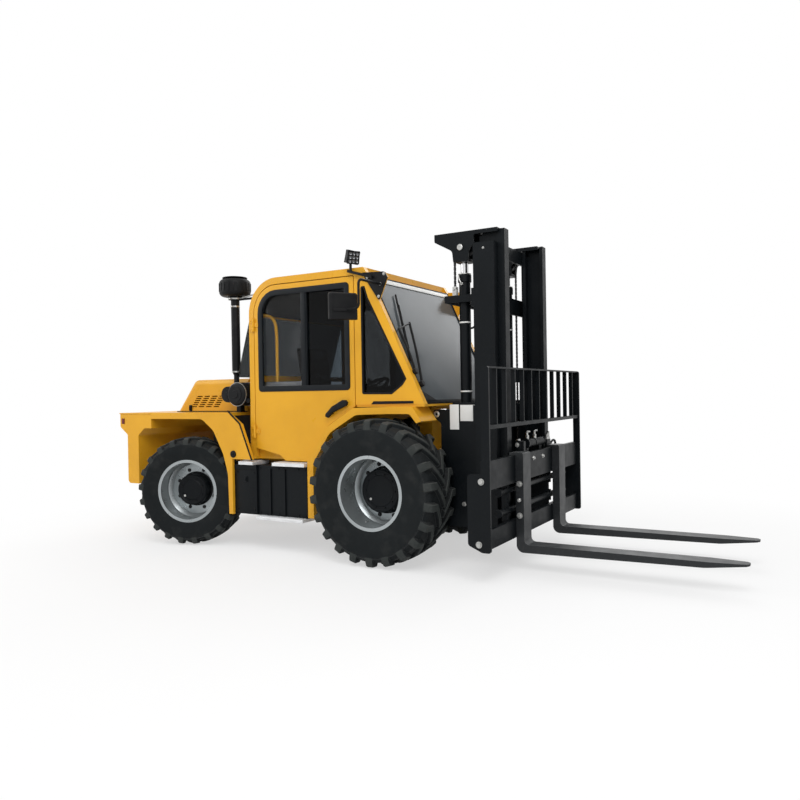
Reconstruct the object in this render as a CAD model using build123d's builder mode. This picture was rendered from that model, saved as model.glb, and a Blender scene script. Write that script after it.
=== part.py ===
# Rough terrain forklift with a two stage mast, closed cab and rear wheel steering.
# Millimetres. X points forward, Y to the left, Z up. Places along X are measured from
# the front axle; save() moves the pieces so that X starts at the middle of the machine.
import math
import os

from build123d import *

os.makedirs("parts", exist_ok=True)

# Clearances, and how far pieces of one solid sink into each other
shaft_gap = 0.1
run_gap = 6.0
seat_gap = 0.3
sink = 2.0

# Wheels
wheelbase = 2260.0
rear_axle_x = -wheelbase
front_tyre_radius = 625.0
front_tyre_width = 445.0
front_rim_radius = 326.0
front_rim_width = 380.0
front_wheel_y = 806.0
front_disc_inset = 90.0
front_hub_radius = 165.0
front_hub_depth = 60.0
rear_tyre_radius = 530.0
rear_tyre_width = 340.0
rear_rim_radius = 316.0
rear_rim_width = 280.0
rear_wheel_y = 850.0
rear_disc_inset = 70.0
rear_hub_radius = 125.0
rear_hub_depth = 45.0
rim_flange = 22.0
rim_drop = 52.0
rim_wall = 14.0
disc_wall = 18.0
front_lug_height = 34.0
rear_lug_height = 27.0
front_lugs = 22
rear_lugs = 21
lug_knee = 0.42
lug_root = 10.0

# Axles and steering
front_spindle_radius = 60.0
rear_spindle_radius = 48.0
kingpin_y = 640.0
kingpin_radius = 28.0
steer_rest = 20.0
knuckle_height = 190.0
yoke_wall = 45.0
axle_tube_radius = 105.0
rear_tube_radius = 85.0
front_bulge_radius = 185.0
rear_bulge_radius = 165.0

# Chassis frame
rail_half_gap = 260.0
rail_wall = 70.0
rail_bottom = 740.0
rail_top = 960.0
rail_front = 330.0
tyre_sweep_x = rear_axle_x - 650.0

# Body shell
body_y = 800.0
shell_wall = 55.0
flare_y = 858.0
tail_y = 900.0
tail_x = rear_axle_x - 925.0
deck_z = 1300.0
sill_z = 842.0
roof_z = 2560.0
roof_wall = 60.0
post_x = -1455.0
roof_front_x = -150.0
roof_corner = 330.0
door_rear_x = -1390.0
door_front_x = -255.0
door_gap = 8.0
window_bottom_z = 1500.0
window_border = 52.0
cowl_z = 1360.0
cowl_front_x = 430.0
hood_y = 600.0
hood_top_z = 1632.0
hood_front_x = -1665.0
hood_rear_x = rear_axle_x - 400.0
glass_wall = 8.0

# Side tanks and steps
tank_y = (430.0, 880.0)
tank_z = (335.0, 806.0)
skirt_x = (rear_axle_x + 604.0, rear_axle_x + 652.0)
tank_x = (skirt_x[1] + 8.0, -755.0)
step_z = 840.0

# Mast and carriage
mast_pivot_x = 500.0
mast_pivot_z = 560.0
mast_pin_radius = 40.0
outer_y = 600.0
outer_depth = 80.0
outer_rear_x = 800.0
outer_front_x = 985.0
outer_bottom_z = 325.0
rail_web = 25.0
rail_flange = 28.0
inner_y = 512.0
inner_depth = 92.0
inner_rear_x = 850.0
inner_front_x = 1045.0
inner_bottom_z = 345.0
inner_top_z = 2800.0
outer_top_z = inner_top_z - 110.0
cylinder_x = 668.0
cylinder_y = 480.0
cylinder_radius = 48.0
lift_rod_radius = 32.0
sheave_radius = 83.0
sheave_z = inner_top_z - 126.0
rod_top_z = inner_top_z - 245.0
barrel_top_z = inner_top_z - 350.0
tie_z = inner_top_z - 555.0
chain_width = 30.0
chain_wall = 14.0
plate_y = (535.0, 560.0)
cheek_y = (395.0, 420.0)

# Tilt cylinders
tilt_y = 477.0
tilt_anchor_x = -280.0
tilt_anchor_z = 1085.0
tilt_eye_x = 420.0
tilt_eye_z = 1275.0
tilt_barrel_radius = 48.0
tilt_rod_radius = 28.0
tilt_pin_radius = 20.0
tilt_eye_slack = 9.0

# Fork frame
frame_half_width = 1157.0
frame_plate = 20.0
frame_rear_x = 1085.0
frame_front_x = 1125.0
upper_bar = (720.0, 940.0)
lower_bar = (275.0, 420.0)
backrest_bottom_z = 1180.0
backrest_top_z = 1650.0
backrest_bars = 11
shift_shaft_x = 1078.0
shift_shaft_radius = 26.0
shift_shaft_z = (500.0, 665.0)
shift_x = 1072.0
shift_z = 1010.0
shift_rod_radius = 18.0
shift_barrel_radius = 36.0
fork_y = 463.0
fork_width = 170.0
fork_wall = 66.0
fork_top_z = 218.0
fork_tip_x = 2836.0

lamp_depth = 12.0
origin_shift = -(fork_tip_x + tail_x - lamp_depth) / 2


def save(piece, name):
    placed = piece.moved(Location((origin_shift, 0, 0)))
    placed.label = name
    export_step(placed, f"parts/{name}.step")


def block(x, y, z, mode=Mode.ADD):
    """A box between the pairs x, y and z."""
    with Locations(((x[0] + x[1]) / 2, (y[0] + y[1]) / 2, (z[0] + z[1]) / 2)):
        Box(abs(x[1] - x[0]), abs(y[1] - y[0]), abs(z[1] - z[0]), mode=mode)


def slab(points, y, mode=Mode.ADD, inset=0.0):
    """A side view outline carried across from y[0] to y[1]. A third number rounds that corner."""
    with BuildSketch(Plane.XZ.offset(-max(y))) as outline:
        with BuildLine():
            Polyline(*[point[:2] for point in points], close=True)
        make_face()
        for corner in points:
            if len(corner) == 3:
                fillet(outline.vertices().sort_by_distance(corner[:2])[0], corner[2])
        if inset:
            offset(amount=-inset, kind=Kind.INTERSECTION, mode=Mode.REPLACE)
    extrude(outline.sketch, amount=abs(y[1] - y[0]), mode=mode)


def cross_rod(x, z, y, radius, mode=Mode.ADD):
    """A round bar or hole along Y."""
    with Locations((x, (y[0] + y[1]) / 2, z)):
        Cylinder(radius, abs(y[1] - y[0]), rotation=(90, 0, 0), mode=mode)


def turned(points):
    """A ring turned about the Y axis from its (y, radius) outline."""
    with BuildSketch(Plane.XY) as outline:
        with BuildLine():
            Polyline(*[(radius, y) for y, radius in points], close=True)
        make_face()
    revolve(outline.sketch, axis=Axis.Y)


def pipe(points, radius, bend):
    """A round tube along straight runs joined by bends."""
    with BuildLine() as route:
        FilletPolyline(*points, radius=bend)
    start = Plane(route.line @ 0, z_dir=route.line % 0)
    with BuildSketch(start) as section:
        Circle(radius)
    sweep(section.sketch, path=route.line)


# Wheels, made about the Y axis with the outer face towards -Y
def make_lug(size):
    """One lug at the top of the tyre: straight over the shoulder, then slanted to the middle."""
    half = size["width"] / 2
    crown = size["radius"]
    floor = crown - size["lug_height"] - lug_root
    knee = half * lug_knee
    reach = size["lug_half"]
    skew = size["lug_skew"]
    middle_crown = math.sqrt(crown ** 2 - (skew + reach) ** 2)
    with BuildPart() as lug:
        with BuildSketch(Plane.YZ.offset(-reach)) as section:
            with BuildLine():
                Polyline((-half + 10, floor - 50), (-half + 2, crown - 60), (-half + 36, crown - 8),
                         (-knee, crown),
                         (-knee, floor), (-half + 60, floor), close=True)
            make_face()
        extrude(section.sketch, amount=2 * reach)
        ends = []
        for y, x, top in ((-knee - sink, 0.0, crown), (-sink, skew, middle_crown)):
            with BuildSketch(Plane.XZ.offset(-y)) as section:
                with Locations((x, (top + floor) / 2)):
                    Rectangle(2 * reach, top - floor)
            ends.append(section.sketch.face())
        loft(ends, ruled=True)
    return lug.part


def faceted(sections, sides):
    """A solid between regular polygons about the Y axis, given as (y, radius of the circle inside)."""
    with BuildPart() as solid:
        rings = []
        for y, radius in sections:
            with BuildSketch(Plane.XZ.offset(-y)) as ring:
                RegularPolygon(radius, sides, major_radius=False)
            rings.append(ring.sketch.face())
        loft(rings, ruled=True)
    return solid.part


def make_tyre(size):
    """A carcass with two facets to each lug, bored for the rim, and two rows of lugs."""
    half = size["width"] / 2
    bead = size["rim_width"] / 2 - 12
    seat = size["rim_radius"] - rim_flange + seat_gap
    toe = size["rim_radius"] + 2
    floor = size["radius"] - size["lug_height"]
    wall = (toe + floor) / 2
    pitch = 360 / size["lugs"]
    sides = 2 * size["lugs"]
    side = ((bead, toe + 16), (half - 6, wall - 50), (half, wall), (half - 12, floor - 45),
            (half - 50, floor))
    lug = make_lug(size)
    with BuildPart() as tyre:
        add(faceted([(-y, radius) for y, radius in side] + list(side[::-1]), sides))
        add(faceted([(-bead - 1, toe), (-bead + 6, seat), (bead - 6, seat), (bead + 1, toe)], sides),
            mode=Mode.SUBTRACT)
        with Locations(*[Location((0, 0, 0), (0, count * pitch, 0)) for count in range(size["lugs"])]):
            add(lug)
        with Locations(*[Location((0, 0, 0),
                                  (0, (count + 0.5) * pitch, 0)) for count in range(size["lugs"])]):
            add(lug.mirror(Plane.XZ))
    return tyre.part


def make_wheel(size):
    """Rim with flanges, drop centre, disc and a hub that is bored for its spindle."""
    radius = size["rim_radius"]
    half = size["rim_width"] / 2
    seat = radius - rim_flange
    drop = radius - rim_drop
    inset = size["disc_inset"]
    hub = size["hub_radius"]
    well = (inset - 25, inset + disc_wall + 25)
    face = inset - size["hub_rise"]
    bore = size["spindle_radius"] + shaft_gap
    with BuildPart() as wheel:
        turned([
            (-half - 6, radius), (-half + 10, radius), (-half + 16, seat), (well[0] - 30, seat),
            (well[0], drop), (well[1], drop), (well[1] + 12, seat), (half - 16, seat),
            (half - 10, radius), (half + 6, radius), (half + 6, seat - rim_wall),
            (well[1] + 16, seat - rim_wall), (well[1] + 4, drop - rim_wall), (well[0] - 4, drop - rim_wall),
            (well[0] - 34, seat - rim_wall), (-half - 6, seat - rim_wall),
        ])
        turned([
            (face, 0), (face, hub - 45), (face + 14, hub - 30), (inset, hub - 12),
            (inset, drop - rim_wall / 2),
            (inset + disc_wall, drop - rim_wall / 2), (inset + disc_wall, hub - 20),
            (inset + size["hub_depth"], hub - 40), (inset + size["hub_depth"], bore), (face + 30, bore),
            (face + 30, 0),
        ])
    return wheel.part


wheel_sizes = {
    "front": {"radius": front_tyre_radius, "width": front_tyre_width, "rim_radius": front_rim_radius,
              "rim_width": front_rim_width, "disc_inset": front_disc_inset, "hub_radius": front_hub_radius,
              "hub_depth": front_hub_depth, "hub_rise": 60.0, "spindle_radius": front_spindle_radius,
              "lug_height": front_lug_height, "lugs": front_lugs, "lug_half": 31.0, "lug_skew": 92.0},
    "rear": {"radius": rear_tyre_radius, "width": rear_tyre_width, "rim_radius": rear_rim_radius,
             "rim_width": rear_rim_width, "disc_inset": rear_disc_inset, "hub_radius": rear_hub_radius,
             "hub_depth": rear_hub_depth, "hub_rise": 60.0, "spindle_radius": rear_spindle_radius,
             "lug_height": rear_lug_height, "lugs": rear_lugs, "lug_half": 25.0, "lug_skew": 72.0},
}
rear_offset = rear_wheel_y - kingpin_y
for axle, size in wheel_sizes.items():
    for name, right in (("tyre", make_tyre(size)), ("wheel", make_wheel(size))):
        for side, sign, piece in (("right", -1, right), ("left", 1, right.mirror(Plane.XZ))):
            if axle == "front":
                place = Location((0, sign * front_wheel_y, front_tyre_radius))
            else:
                kingpin = Location((rear_axle_x, sign * kingpin_y, rear_tyre_radius), (0, 0, steer_rest))
                place = kingpin * Location((0, sign * rear_offset, 0))
            save(piece.moved(place), f"{axle}_{name}_{side}")

# Steering knuckles, made about the kingpin with the wheel towards -Y
knuckle_half = 60.0
hub_end_y = -rear_offset + rear_disc_inset + rear_hub_depth
spindle_end_y = -rear_offset + rear_disc_inset - 26
with BuildPart() as knuckle:
    block((-knuckle_half, knuckle_half), (hub_end_y + run_gap, knuckle_half),
          (-knuckle_height / 2 + 1, knuckle_height / 2 - 1))
    cross_rod(0, 0, (spindle_end_y, hub_end_y + run_gap + sink), rear_spindle_radius)
    Cylinder(kingpin_radius, knuckle_height + 2 * yoke_wall)
for side, sign, piece in (("right", -1, knuckle.part), ("left", 1, knuckle.part.mirror(Plane.XZ))):
    place = Location((rear_axle_x, sign * kingpin_y, rear_tyre_radius), (0, 0, steer_rest))
    save(piece.moved(place), f"knuckle_{side}")

# Axles, made about their own middles
front_hub_end = front_wheel_y - front_disc_inset - front_hub_depth - run_gap
front_spindle_end = front_wheel_y - front_disc_inset + 26
drum_radius = 150.0
drum_inner_y = 480.0
with BuildPart() as front_axle:
    with BuildSketch(Plane.XY):
        with BuildLine():
            Polyline((0, 0), (front_bulge_radius, 0), (front_bulge_radius, 110), (axle_tube_radius, 230),
                     (axle_tube_radius, drum_inner_y - 10), (drum_radius, drum_inner_y),
                     (drum_radius, front_hub_end),
                     (front_spindle_radius, front_hub_end), (front_spindle_radius, front_spindle_end),
                     (0, front_spindle_end), close=True)
        make_face()
    revolve(axis=Axis.Y)
    block((-110, 110), (rail_half_gap, rail_half_gap + rail_wall), (0, rail_bottom - front_tyre_radius))
    mirror(about=Plane.XZ)
save(front_axle.part.moved(Location((0, 0, front_tyre_radius))), "front_axle")

pivot_half_length = 265.0
pivot_radius = 45.0
yoke_half_height = knuckle_height / 2 + yoke_wall
yoke_half_depth = 70.0
yoke_y = (kingpin_y - 130.0, kingpin_y + 55.0)
with BuildPart() as rear_axle:
    with BuildSketch(Plane.XY):
        with BuildLine():
            Polyline((0, 0), (rear_bulge_radius, 0), (rear_bulge_radius, 90), (rear_tube_radius, 190),
                     (rear_tube_radius, yoke_y[0] + 10), (0, yoke_y[0] + 10), close=True)
        make_face()
    revolve(axis=Axis.Y)
    block((-yoke_half_depth, yoke_half_depth), yoke_y, (-yoke_half_height, yoke_half_height))
    block((-yoke_half_depth - sink, yoke_half_depth + sink), (yoke_y[0] + 38, yoke_y[1] + sink),
          (-knuckle_height / 2, knuckle_height / 2), mode=Mode.SUBTRACT)
    with Locations((0, kingpin_y, 0)):
        Cylinder(kingpin_radius + shaft_gap, 2 * yoke_half_height + sink, mode=Mode.SUBTRACT)
    mirror(about=Plane.XZ)
    Cylinder(pivot_radius, 2 * pivot_half_length, rotation=(0, 90, 0))
save(rear_axle.part.moved(Location((rear_axle_x, 0, rear_tyre_radius))), "rear_axle")

# Chassis frame with the hangers of the rear axle, the mast feet and the tilt brackets
rail_y = (rail_half_gap, rail_half_gap + rail_wall)
cross_half = 40.0
hanger_reach = 235.0
hanger_half = 28.0
tilt_cheek = 18.0
tilt_half = 75.0
with BuildPart() as frame:
    block((tyre_sweep_x, rail_front), rail_y, (rail_bottom, rail_top))
    foot = [(rail_front - 130, rail_top), (rail_front, rail_top), (mast_pivot_x + 75, mast_pivot_z + 60, 40),
            (mast_pivot_x + 75, mast_pivot_z - 75, 60), (mast_pivot_x - 90, mast_pivot_z - 75, 40),
            (rail_front - 130, rail_bottom + 20)]
    slab(foot, rail_y)
    for x in (skirt_x[1] + 170, tank_x[1] - 145):
        block((x - 30, x + 30), (rail_y[1] - sink, tank_y[0]), (rail_bottom, tank_z[1] - run_gap))
    block((tilt_anchor_x - 110, tilt_anchor_x - 60), (rail_y[1] - sink, tilt_y + tilt_half),
          (rail_top - 160, rail_top - 10))
    for cheek in (tilt_y - tilt_half, tilt_y + tilt_half - tilt_cheek):
        slab([(tilt_anchor_x - 110, rail_top - 20), (tilt_anchor_x - 110, tilt_anchor_z - 20),
              (tilt_anchor_x - 30, tilt_anchor_z + 40, 30), (tilt_anchor_x + 35, tilt_anchor_z + 40, 30),
              (tilt_anchor_x + 35, rail_top - 20)], (cheek, cheek + tilt_cheek))
    cross_rod(tilt_anchor_x, tilt_anchor_z, (tilt_y - tilt_half, tilt_y + tilt_half), tilt_pin_radius)
    mirror(about=Plane.XZ)
    for x in (rear_axle_x - 390, tank_x[0] + 50, tank_x[1] + 55, rail_front - 60):
        block((x - cross_half, x + cross_half), (-rail_half_gap - sink, rail_half_gap + sink),
              (rail_bottom + 20, rail_top - 20))
    for x in (rear_axle_x - hanger_reach, rear_axle_x + hanger_reach):
        block((x - hanger_half, x + hanger_half), (-rail_half_gap - sink, rail_half_gap + sink),
              (rail_bottom, rail_top - 40))
        block((x - hanger_half, x + hanger_half), (-120, 120), (rear_tyre_radius - 90, rail_bottom + 40))
    with Locations((rear_axle_x, 0, rear_tyre_radius)):
        Cylinder(pivot_radius + shaft_gap, 2 * pivot_half_length + 20, rotation=(0, 90, 0),
                 mode=Mode.SUBTRACT)
    cross_rod(mast_pivot_x, mast_pivot_z, (-plate_y[1], plate_y[1]), mast_pin_radius)
save(frame.part, "frame")

# Engine, one plain mass under the hood, on lugs on the rails
engine_y = rail_half_gap - 5
with BuildPart() as engine:
    block((rear_axle_x - 220, hood_front_x - 85), (-engine_y, engine_y), (rail_top - 30, deck_z - 20))
    block((rear_axle_x - 40, rear_axle_x + 60), (-rail_half_gap - 30, rail_half_gap + 30),
          (rail_top, rail_top + 60))
save(engine.part, "engine")

# Counterweight: deep tail block with a box above that overhangs behind
tail_wall = 110.0
tail_box = 470.0
tail_bottom_z = 560.0
tongue_x = rear_axle_x - 460.0
with BuildPart() as counterweight:
    tail = [(tail_x, deck_z - 5, 12), (tail_x, deck_z - 150, 30), (tail_x + tail_wall, deck_z - 230, 30),
            (tail_x + tail_wall, tail_bottom_z, 40), (tyre_sweep_x, tail_bottom_z),
            (tyre_sweep_x, deck_z - 235, 30),
            (tyre_sweep_x + 90, deck_z - 160, 30), (tail_x + tail_box, deck_z - 160),
            (tail_x + tail_box, deck_z - 5)]
    slab(tail, (-tail_y, tail_y))
    tongue_y = rail_half_gap - run_gap
    block((tyre_sweep_x - 20, tongue_x), (-tongue_y, tongue_y), (tail_bottom_z + 40, rail_top - 20))
save(counterweight.part, "counterweight")

# Rear fenders: deck, arch lip, panel and skirt
lip = 30.0
fender_rear_x = tail_x + tail_box
fender_front_x = skirt_x[0] + 15.0
skirt_bottom_z = 330.0
panel_foot_x = skirt_x[1] + 250.0
panel_foot_z = 858.0
arch_top_z = 1238.0
with BuildPart() as rear_fenders:
    side = [(fender_rear_x, deck_z), (fender_front_x, deck_z), (skirt_x[1] + 120, deck_z - 110),
            (panel_foot_x, panel_foot_z), (skirt_x[1], panel_foot_z), (skirt_x[1], skirt_bottom_z),
            (skirt_x[0], skirt_bottom_z), (skirt_x[0] - 10, 710, 200), (skirt_x[0] - 67, 902, 150),
            (skirt_x[0] - 195, 1130, 150), (skirt_x[0] - 345, arch_top_z, 100), (fender_rear_x, arch_top_z)]
    slab(side, (-tail_y, -tail_y + lip))
    block((fender_rear_x, fender_front_x), (-tail_y + sink, -hood_y + 40), (deck_z - lip, deck_z))
    mirror(about=Plane.XZ)
save(rear_fenders.part, "rear_fenders")

# Front wheel arches
arch_y = (575.0, flare_y)
arch_foot_z = 345.0
arch_top = front_tyre_radius + 721.0
arch_rim = 60.0
arch_outer = [(tank_x[1] + 10, arch_foot_z), (tank_x[1] + 10, 858), (-540, 1160), (-240, arch_top - 8),
              (110, arch_top), (cowl_front_x - 85, arch_top), (cowl_front_x, 1225)]
arch_inner = [(cowl_front_x - 48, 1210), (cowl_front_x - 112, arch_top - arch_rim, 40),
              (110, arch_top - arch_rim),
              (-215, arch_top - arch_rim - 8, 120), (-495, 1118, 200), (tank_x[1] + 75, 842, 200),
              (tank_x[1] + 75, arch_foot_z)]
with BuildPart() as front_fenders:
    slab(arch_outer + arch_inner, (-arch_y[1], -arch_y[0]))
    mirror(about=Plane.XZ)
save(front_fenders.part, "front_fenders")

# Hood, a hollow lid with louvres, hinged on two barrels at its top front edge
hood_wall = 25.0
hood_bottom_z = deck_z + seat_gap
hood_slope_x = hood_rear_x + 262.0
hood_hinge_x = hood_front_x + 8.0
hood_hinge_z = hood_top_z + 22.0
hood_hinge_y = (300.0, 380.0)
hood_hinge_radius = 12.0
hood_pin_radius = 6.0
louvre_columns = 4
louvre_rows = 6
louvre_size = (78.0, 12.0)
louvre_pitch = (104.0, 21.0)
louvre_lean = 17.0
louvre_x = hood_slope_x - 8.0
louvre_z = deck_z + 55.0
with BuildPart() as hood:
    outline = [(hood_rear_x, hood_bottom_z), (hood_slope_x, hood_top_z, 70), (hood_front_x, hood_top_z),
               (hood_front_x, hood_bottom_z)]
    slab(outline, (-hood_y, hood_y))
    fillet(hood.edges().group_by(Axis.Z)[-1].filter_by(Axis.X), 50)
    offset(amount=-hood_wall, openings=hood.faces().sort_by(Axis.Z)[0])
    slots = [(louvre_x + column * louvre_pitch[0] + row * louvre_lean, 0, louvre_z + row * louvre_pitch[1])
             for column in range(louvre_columns) for row in range(louvre_rows)]
    with Locations(*slots):
        Box(louvre_size[0], 2 * hood_y + sink, louvre_size[1], mode=Mode.SUBTRACT)
    for sign in (-1, 1):
        y = (sign * hood_hinge_y[0], sign * hood_hinge_y[1])
        cross_rod(hood_hinge_x, hood_hinge_z, y, hood_hinge_radius)
        block((hood_hinge_x - 60, hood_hinge_x), y, (hood_top_z - sink, hood_hinge_z - 4))
        cross_rod(hood_hinge_x, hood_hinge_z, y, hood_pin_radius + shaft_gap, mode=Mode.SUBTRACT)
save(hood.part, "hood")

# Side tanks with an overhanging lid, and the steps between the wheels
lid_x = (tank_x[0], tank_x[0] + 270.0)
with BuildPart() as side_tanks:
    block(tank_x, (-tank_y[1] + 25, -tank_y[0]), (tank_z[0], tank_z[1]))
    block(lid_x, (-tank_y[1] + 8, -tank_y[0]), (tank_z[0] + 10, tank_z[1] - 40))
    block(lid_x, (-tank_y[1], -tank_y[0]), (tank_z[1] - 42, tank_z[1]))
    for x in (lid_x[1] + 150, lid_x[1] + 320):
        block((x - 12, x + 12), (-tank_y[1] + 12, -tank_y[1] + 30), (tank_z[0] + 10, tank_z[1] - 30))
    mirror(about=Plane.XZ)
save(side_tanks.part, "side_tanks")

upper_step_x = ((lid_x[0] + 60.0, lid_x[1] - 35.0), (-1130.0, tank_x[1] - 4.0))
lower_step_x = (-1300.0, tank_x[1] - 4.0)
with BuildPart() as steps:
    for x in upper_step_x:
        block(x, (-tank_y[1] - 10, -650), (tank_z[1], step_z - 4))
    block(lower_step_x, (-tank_y[1] - 40, -700), (tank_z[0] - 28, tank_z[0]))
    mirror(about=Plane.XZ)
save(steps.part, "steps")

# Cab base: floor, footwell, rear wall with the hood's hinge lugs, sills and cowl
floor_z = (rail_top, rail_top + 24.0)
footwell_y = 375.0
footwell_x = 280.0
cabin_y = body_y - shell_wall
toe_x = -415.0
toe_y = 565.0
seat_floor_x = -770.0
sheet = 20.0
rear_wall_x = (-1640.0, -1595.0)
cowl_wall = (cowl_z - 14.0, cowl_z + 4.0)
sill_y = (640.0, cabin_y - 5.0)
with BuildPart() as cab_base:
    block((rear_wall_x[1] - 5, seat_floor_x), (-sill_y[1], sill_y[1]), floor_z)
    block((seat_floor_x - 5, toe_x), (-toe_y, toe_y), floor_z)
    block((toe_x - sink, footwell_x), (-footwell_y, footwell_y), floor_z)
    block((footwell_x - 30, footwell_x), (-footwell_y, footwell_y), (floor_z[0], cowl_wall[0] + 1))
    block((120, cowl_front_x), (-footwell_y, footwell_y), cowl_wall)
    block(rear_wall_x, (-hood_y, hood_y), (rail_top, hood_top_z + 8))
    for sign in (-1, 1):
        block((toe_x - sink, footwell_x), (sign * (footwell_y - sheet), sign * footwell_y),
              (floor_z[0], cowl_wall[0] + 1))
        block((toe_x - sheet, toe_x), (sign * (footwell_y - sheet), sign * toe_y),
              (floor_z[0], cowl_wall[0] + 1))
        block((seat_floor_x - 5, toe_x), (sign * (toe_y - 12), sign * toe_y), (floor_z[0], cowl_wall[0] + 1))
        block((rear_wall_x[1] - 5, seat_floor_x), (sign * sill_y[0], sign * sill_y[1]),
              (sill_z + 16, floor_z[1]))
        block((-240, cowl_front_x), (sign * (footwell_y - sheet), sign * (body_y - 5)), cowl_wall)
        block((rear_wall_x[1] - 5, door_rear_x - door_gap), (sign * sill_y[0], sign * cabin_y),
              (sill_z + 16, floor_z[1]))
        for y in ((hood_hinge_y[0] - 41, hood_hinge_y[0] - 1), (hood_hinge_y[1] + 1, hood_hinge_y[1] + 41)):
            lug_y = (sign * y[0], sign * y[1])
            cross_rod(hood_hinge_x, hood_hinge_z, lug_y, hood_hinge_radius)
            block((hood_hinge_x - 8, rear_wall_x[0] - 1), lug_y, (hood_top_z - 6, hood_hinge_z))
            block((hood_hinge_x - 8, rear_wall_x[0] + sink), lug_y, (hood_top_z - 6, hood_top_z + 6))
        pin_y = (sign * (hood_hinge_y[0] - 41), sign * (hood_hinge_y[1] + 41))
        cross_rod(hood_hinge_x, hood_hinge_z, pin_y, hood_pin_radius)
save(cab_base.part, "cab_base")

# Hinges of the doors
hinge_x = door_rear_x - 4.0
hinge_y = body_y + 14.0
hinge_z = (1120.0, 2130.0)
hinge_radius = 12.0
hinge_pin_radius = 6.0
leaf_half = 20.0
hinge_half = 60.0


def hinge_barrel(z, radius, mode=Mode.ADD):
    with Locations((hinge_x, -hinge_y, (z[0] + z[1]) / 2)):
        Cylinder(radius, z[1] - z[0], mode=mode)


# Cab side frames with the openings of the doors and quarter windows,
# and gussets at the windscreen's top corners
opening_z = roof_z - 62.0
pillar_foot_x = cowl_front_x + 5.0
quarter = [(-175, 2390, 15), (-175, cowl_z + 100, 15), (120, cowl_z + 96, 15), (225, cowl_z + 170),
           (262, cowl_z + 220), (-108, 2290), (-140, 2390)]
gusset = [(roof_front_x - 3, roof_z - 52), (75, roof_z - 62, 30), (100, roof_z - 112), (14, roof_z - 306, 12),
          (-117, roof_z - 115)]
gusset_wall = 12.0
with BuildPart() as cab_frame:
    outline = [(post_x, sill_z + 16), (post_x, roof_z, roof_corner), (roof_front_x, roof_z),
               (roof_front_x + 40, roof_z - roof_wall), (pillar_foot_x, cowl_wall[1]),
               (door_front_x + door_gap, cowl_wall[1]), (door_front_x + door_gap, opening_z, 15),
               (door_rear_x - door_gap, opening_z, roof_corner - 65), (door_rear_x - door_gap, sill_z + 16)]
    slab(outline, (-body_y, -cabin_y))
    slab(quarter, (-body_y - sink, -cabin_y + sink), mode=Mode.SUBTRACT)
    slab(gusset, (-body_y, -body_y + gusset_wall))
    for middle in hinge_z:
        for z in ((middle - hinge_half, middle - leaf_half - seat_gap),
                  (middle + leaf_half + seat_gap, middle + hinge_half)):
            hinge_barrel(z, hinge_radius)
            block((post_x + 15, hinge_x), (-body_y - 9, -body_y), z)
        hinge_barrel((middle - hinge_half, middle + hinge_half), hinge_pin_radius)
    mirror(about=Plane.XZ)
    block((roof_front_x - 30, roof_front_x + 30), (-cabin_y - 5, cabin_y + 5), (opening_z - 60, opening_z))
    block((post_x, post_x + 50), (-cabin_y - 5, cabin_y + 5), (1600, 1650))
save(cab_frame.part, "cab_frame")

# Roof panel that turns down behind, with a lifting eye
rear_pane_top_z = roof_z - roof_corner - 10.0
eye_x = -720.0
eye_half = 56.0
eye_rise = 68.0
eye_bore = 14.0
eye_bore_z = roof_z + 30.0
with BuildPart() as cab_roof:
    slab([(post_x, rear_pane_top_z), (post_x, roof_z, roof_corner), (roof_front_x, roof_z),
          (roof_front_x, roof_z - roof_wall),
          (post_x + roof_wall, roof_z - roof_wall, roof_corner - roof_wall),
          (post_x + roof_wall, rear_pane_top_z)], (-cabin_y, cabin_y))
    slab([(eye_x - eye_half, roof_z - sink), (eye_x, roof_z + eye_rise, 16),
          (eye_x + eye_half, roof_z - sink)], (-12, 12))
    cross_rod(eye_x, eye_bore_z, (-20, 20), eye_bore, mode=Mode.SUBTRACT)
save(cab_roof.part, "cab_roof")

# Doors, hinged at their rear edges
door_top_z = opening_z - door_gap
door_corner = roof_corner - 73.0
door_outline = [(door_rear_x, 962), (-1100, 902, 30), (-1040, sill_z + 8, 30), (seat_floor_x + 5, sill_z + 8),
                (-556, 1174), (door_front_x, cowl_z - 8), (door_front_x, door_top_z, 10),
                (door_rear_x, door_top_z, door_corner)]
window_top_z = door_top_z - window_border
window_outline = [(door_rear_x + window_border, window_bottom_z, 30),
                  (door_front_x - window_border, window_bottom_z, 30),
                  (door_front_x - window_border, window_top_z, 30),
                  (door_rear_x + window_border, window_top_z, door_corner - window_border)]
with BuildPart() as door:
    slab(door_outline, (-body_y, -cabin_y))
    slab(window_outline, (-body_y - sink, -cabin_y + sink), mode=Mode.SUBTRACT)
    for middle in hinge_z:
        z = (middle - leaf_half, middle + leaf_half)
        hinge_barrel(z, hinge_radius)
        block((hinge_x, door_rear_x + 50), (-body_y - 9, -body_y), z)
        hinge_barrel(z, hinge_pin_radius + shaft_gap, mode=Mode.SUBTRACT)
with BuildPart() as door_glass:
    slab(window_outline, (-body_y + 24, -body_y + 24 + glass_wall), inset=seat_gap)
for side in ("right", "left"):
    for name, piece in (("door", door.part), ("door_glass", door_glass.part)):
        save(piece if side == "right" else piece.mirror(Plane.XZ), f"{name}_{side}")

# Fixed panes: the windscreen, then the rear, rear corner and quarter panes
with BuildPart() as windscreen:
    slab([(roof_front_x + 40, roof_z - 72), (roof_front_x + 40 - glass_wall, roof_z - 72),
          (cowl_front_x - 20, cowl_wall[1]), (cowl_front_x - 10, cowl_wall[1])], (-cabin_y, cabin_y))
save(windscreen.part, "windscreen")

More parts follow.
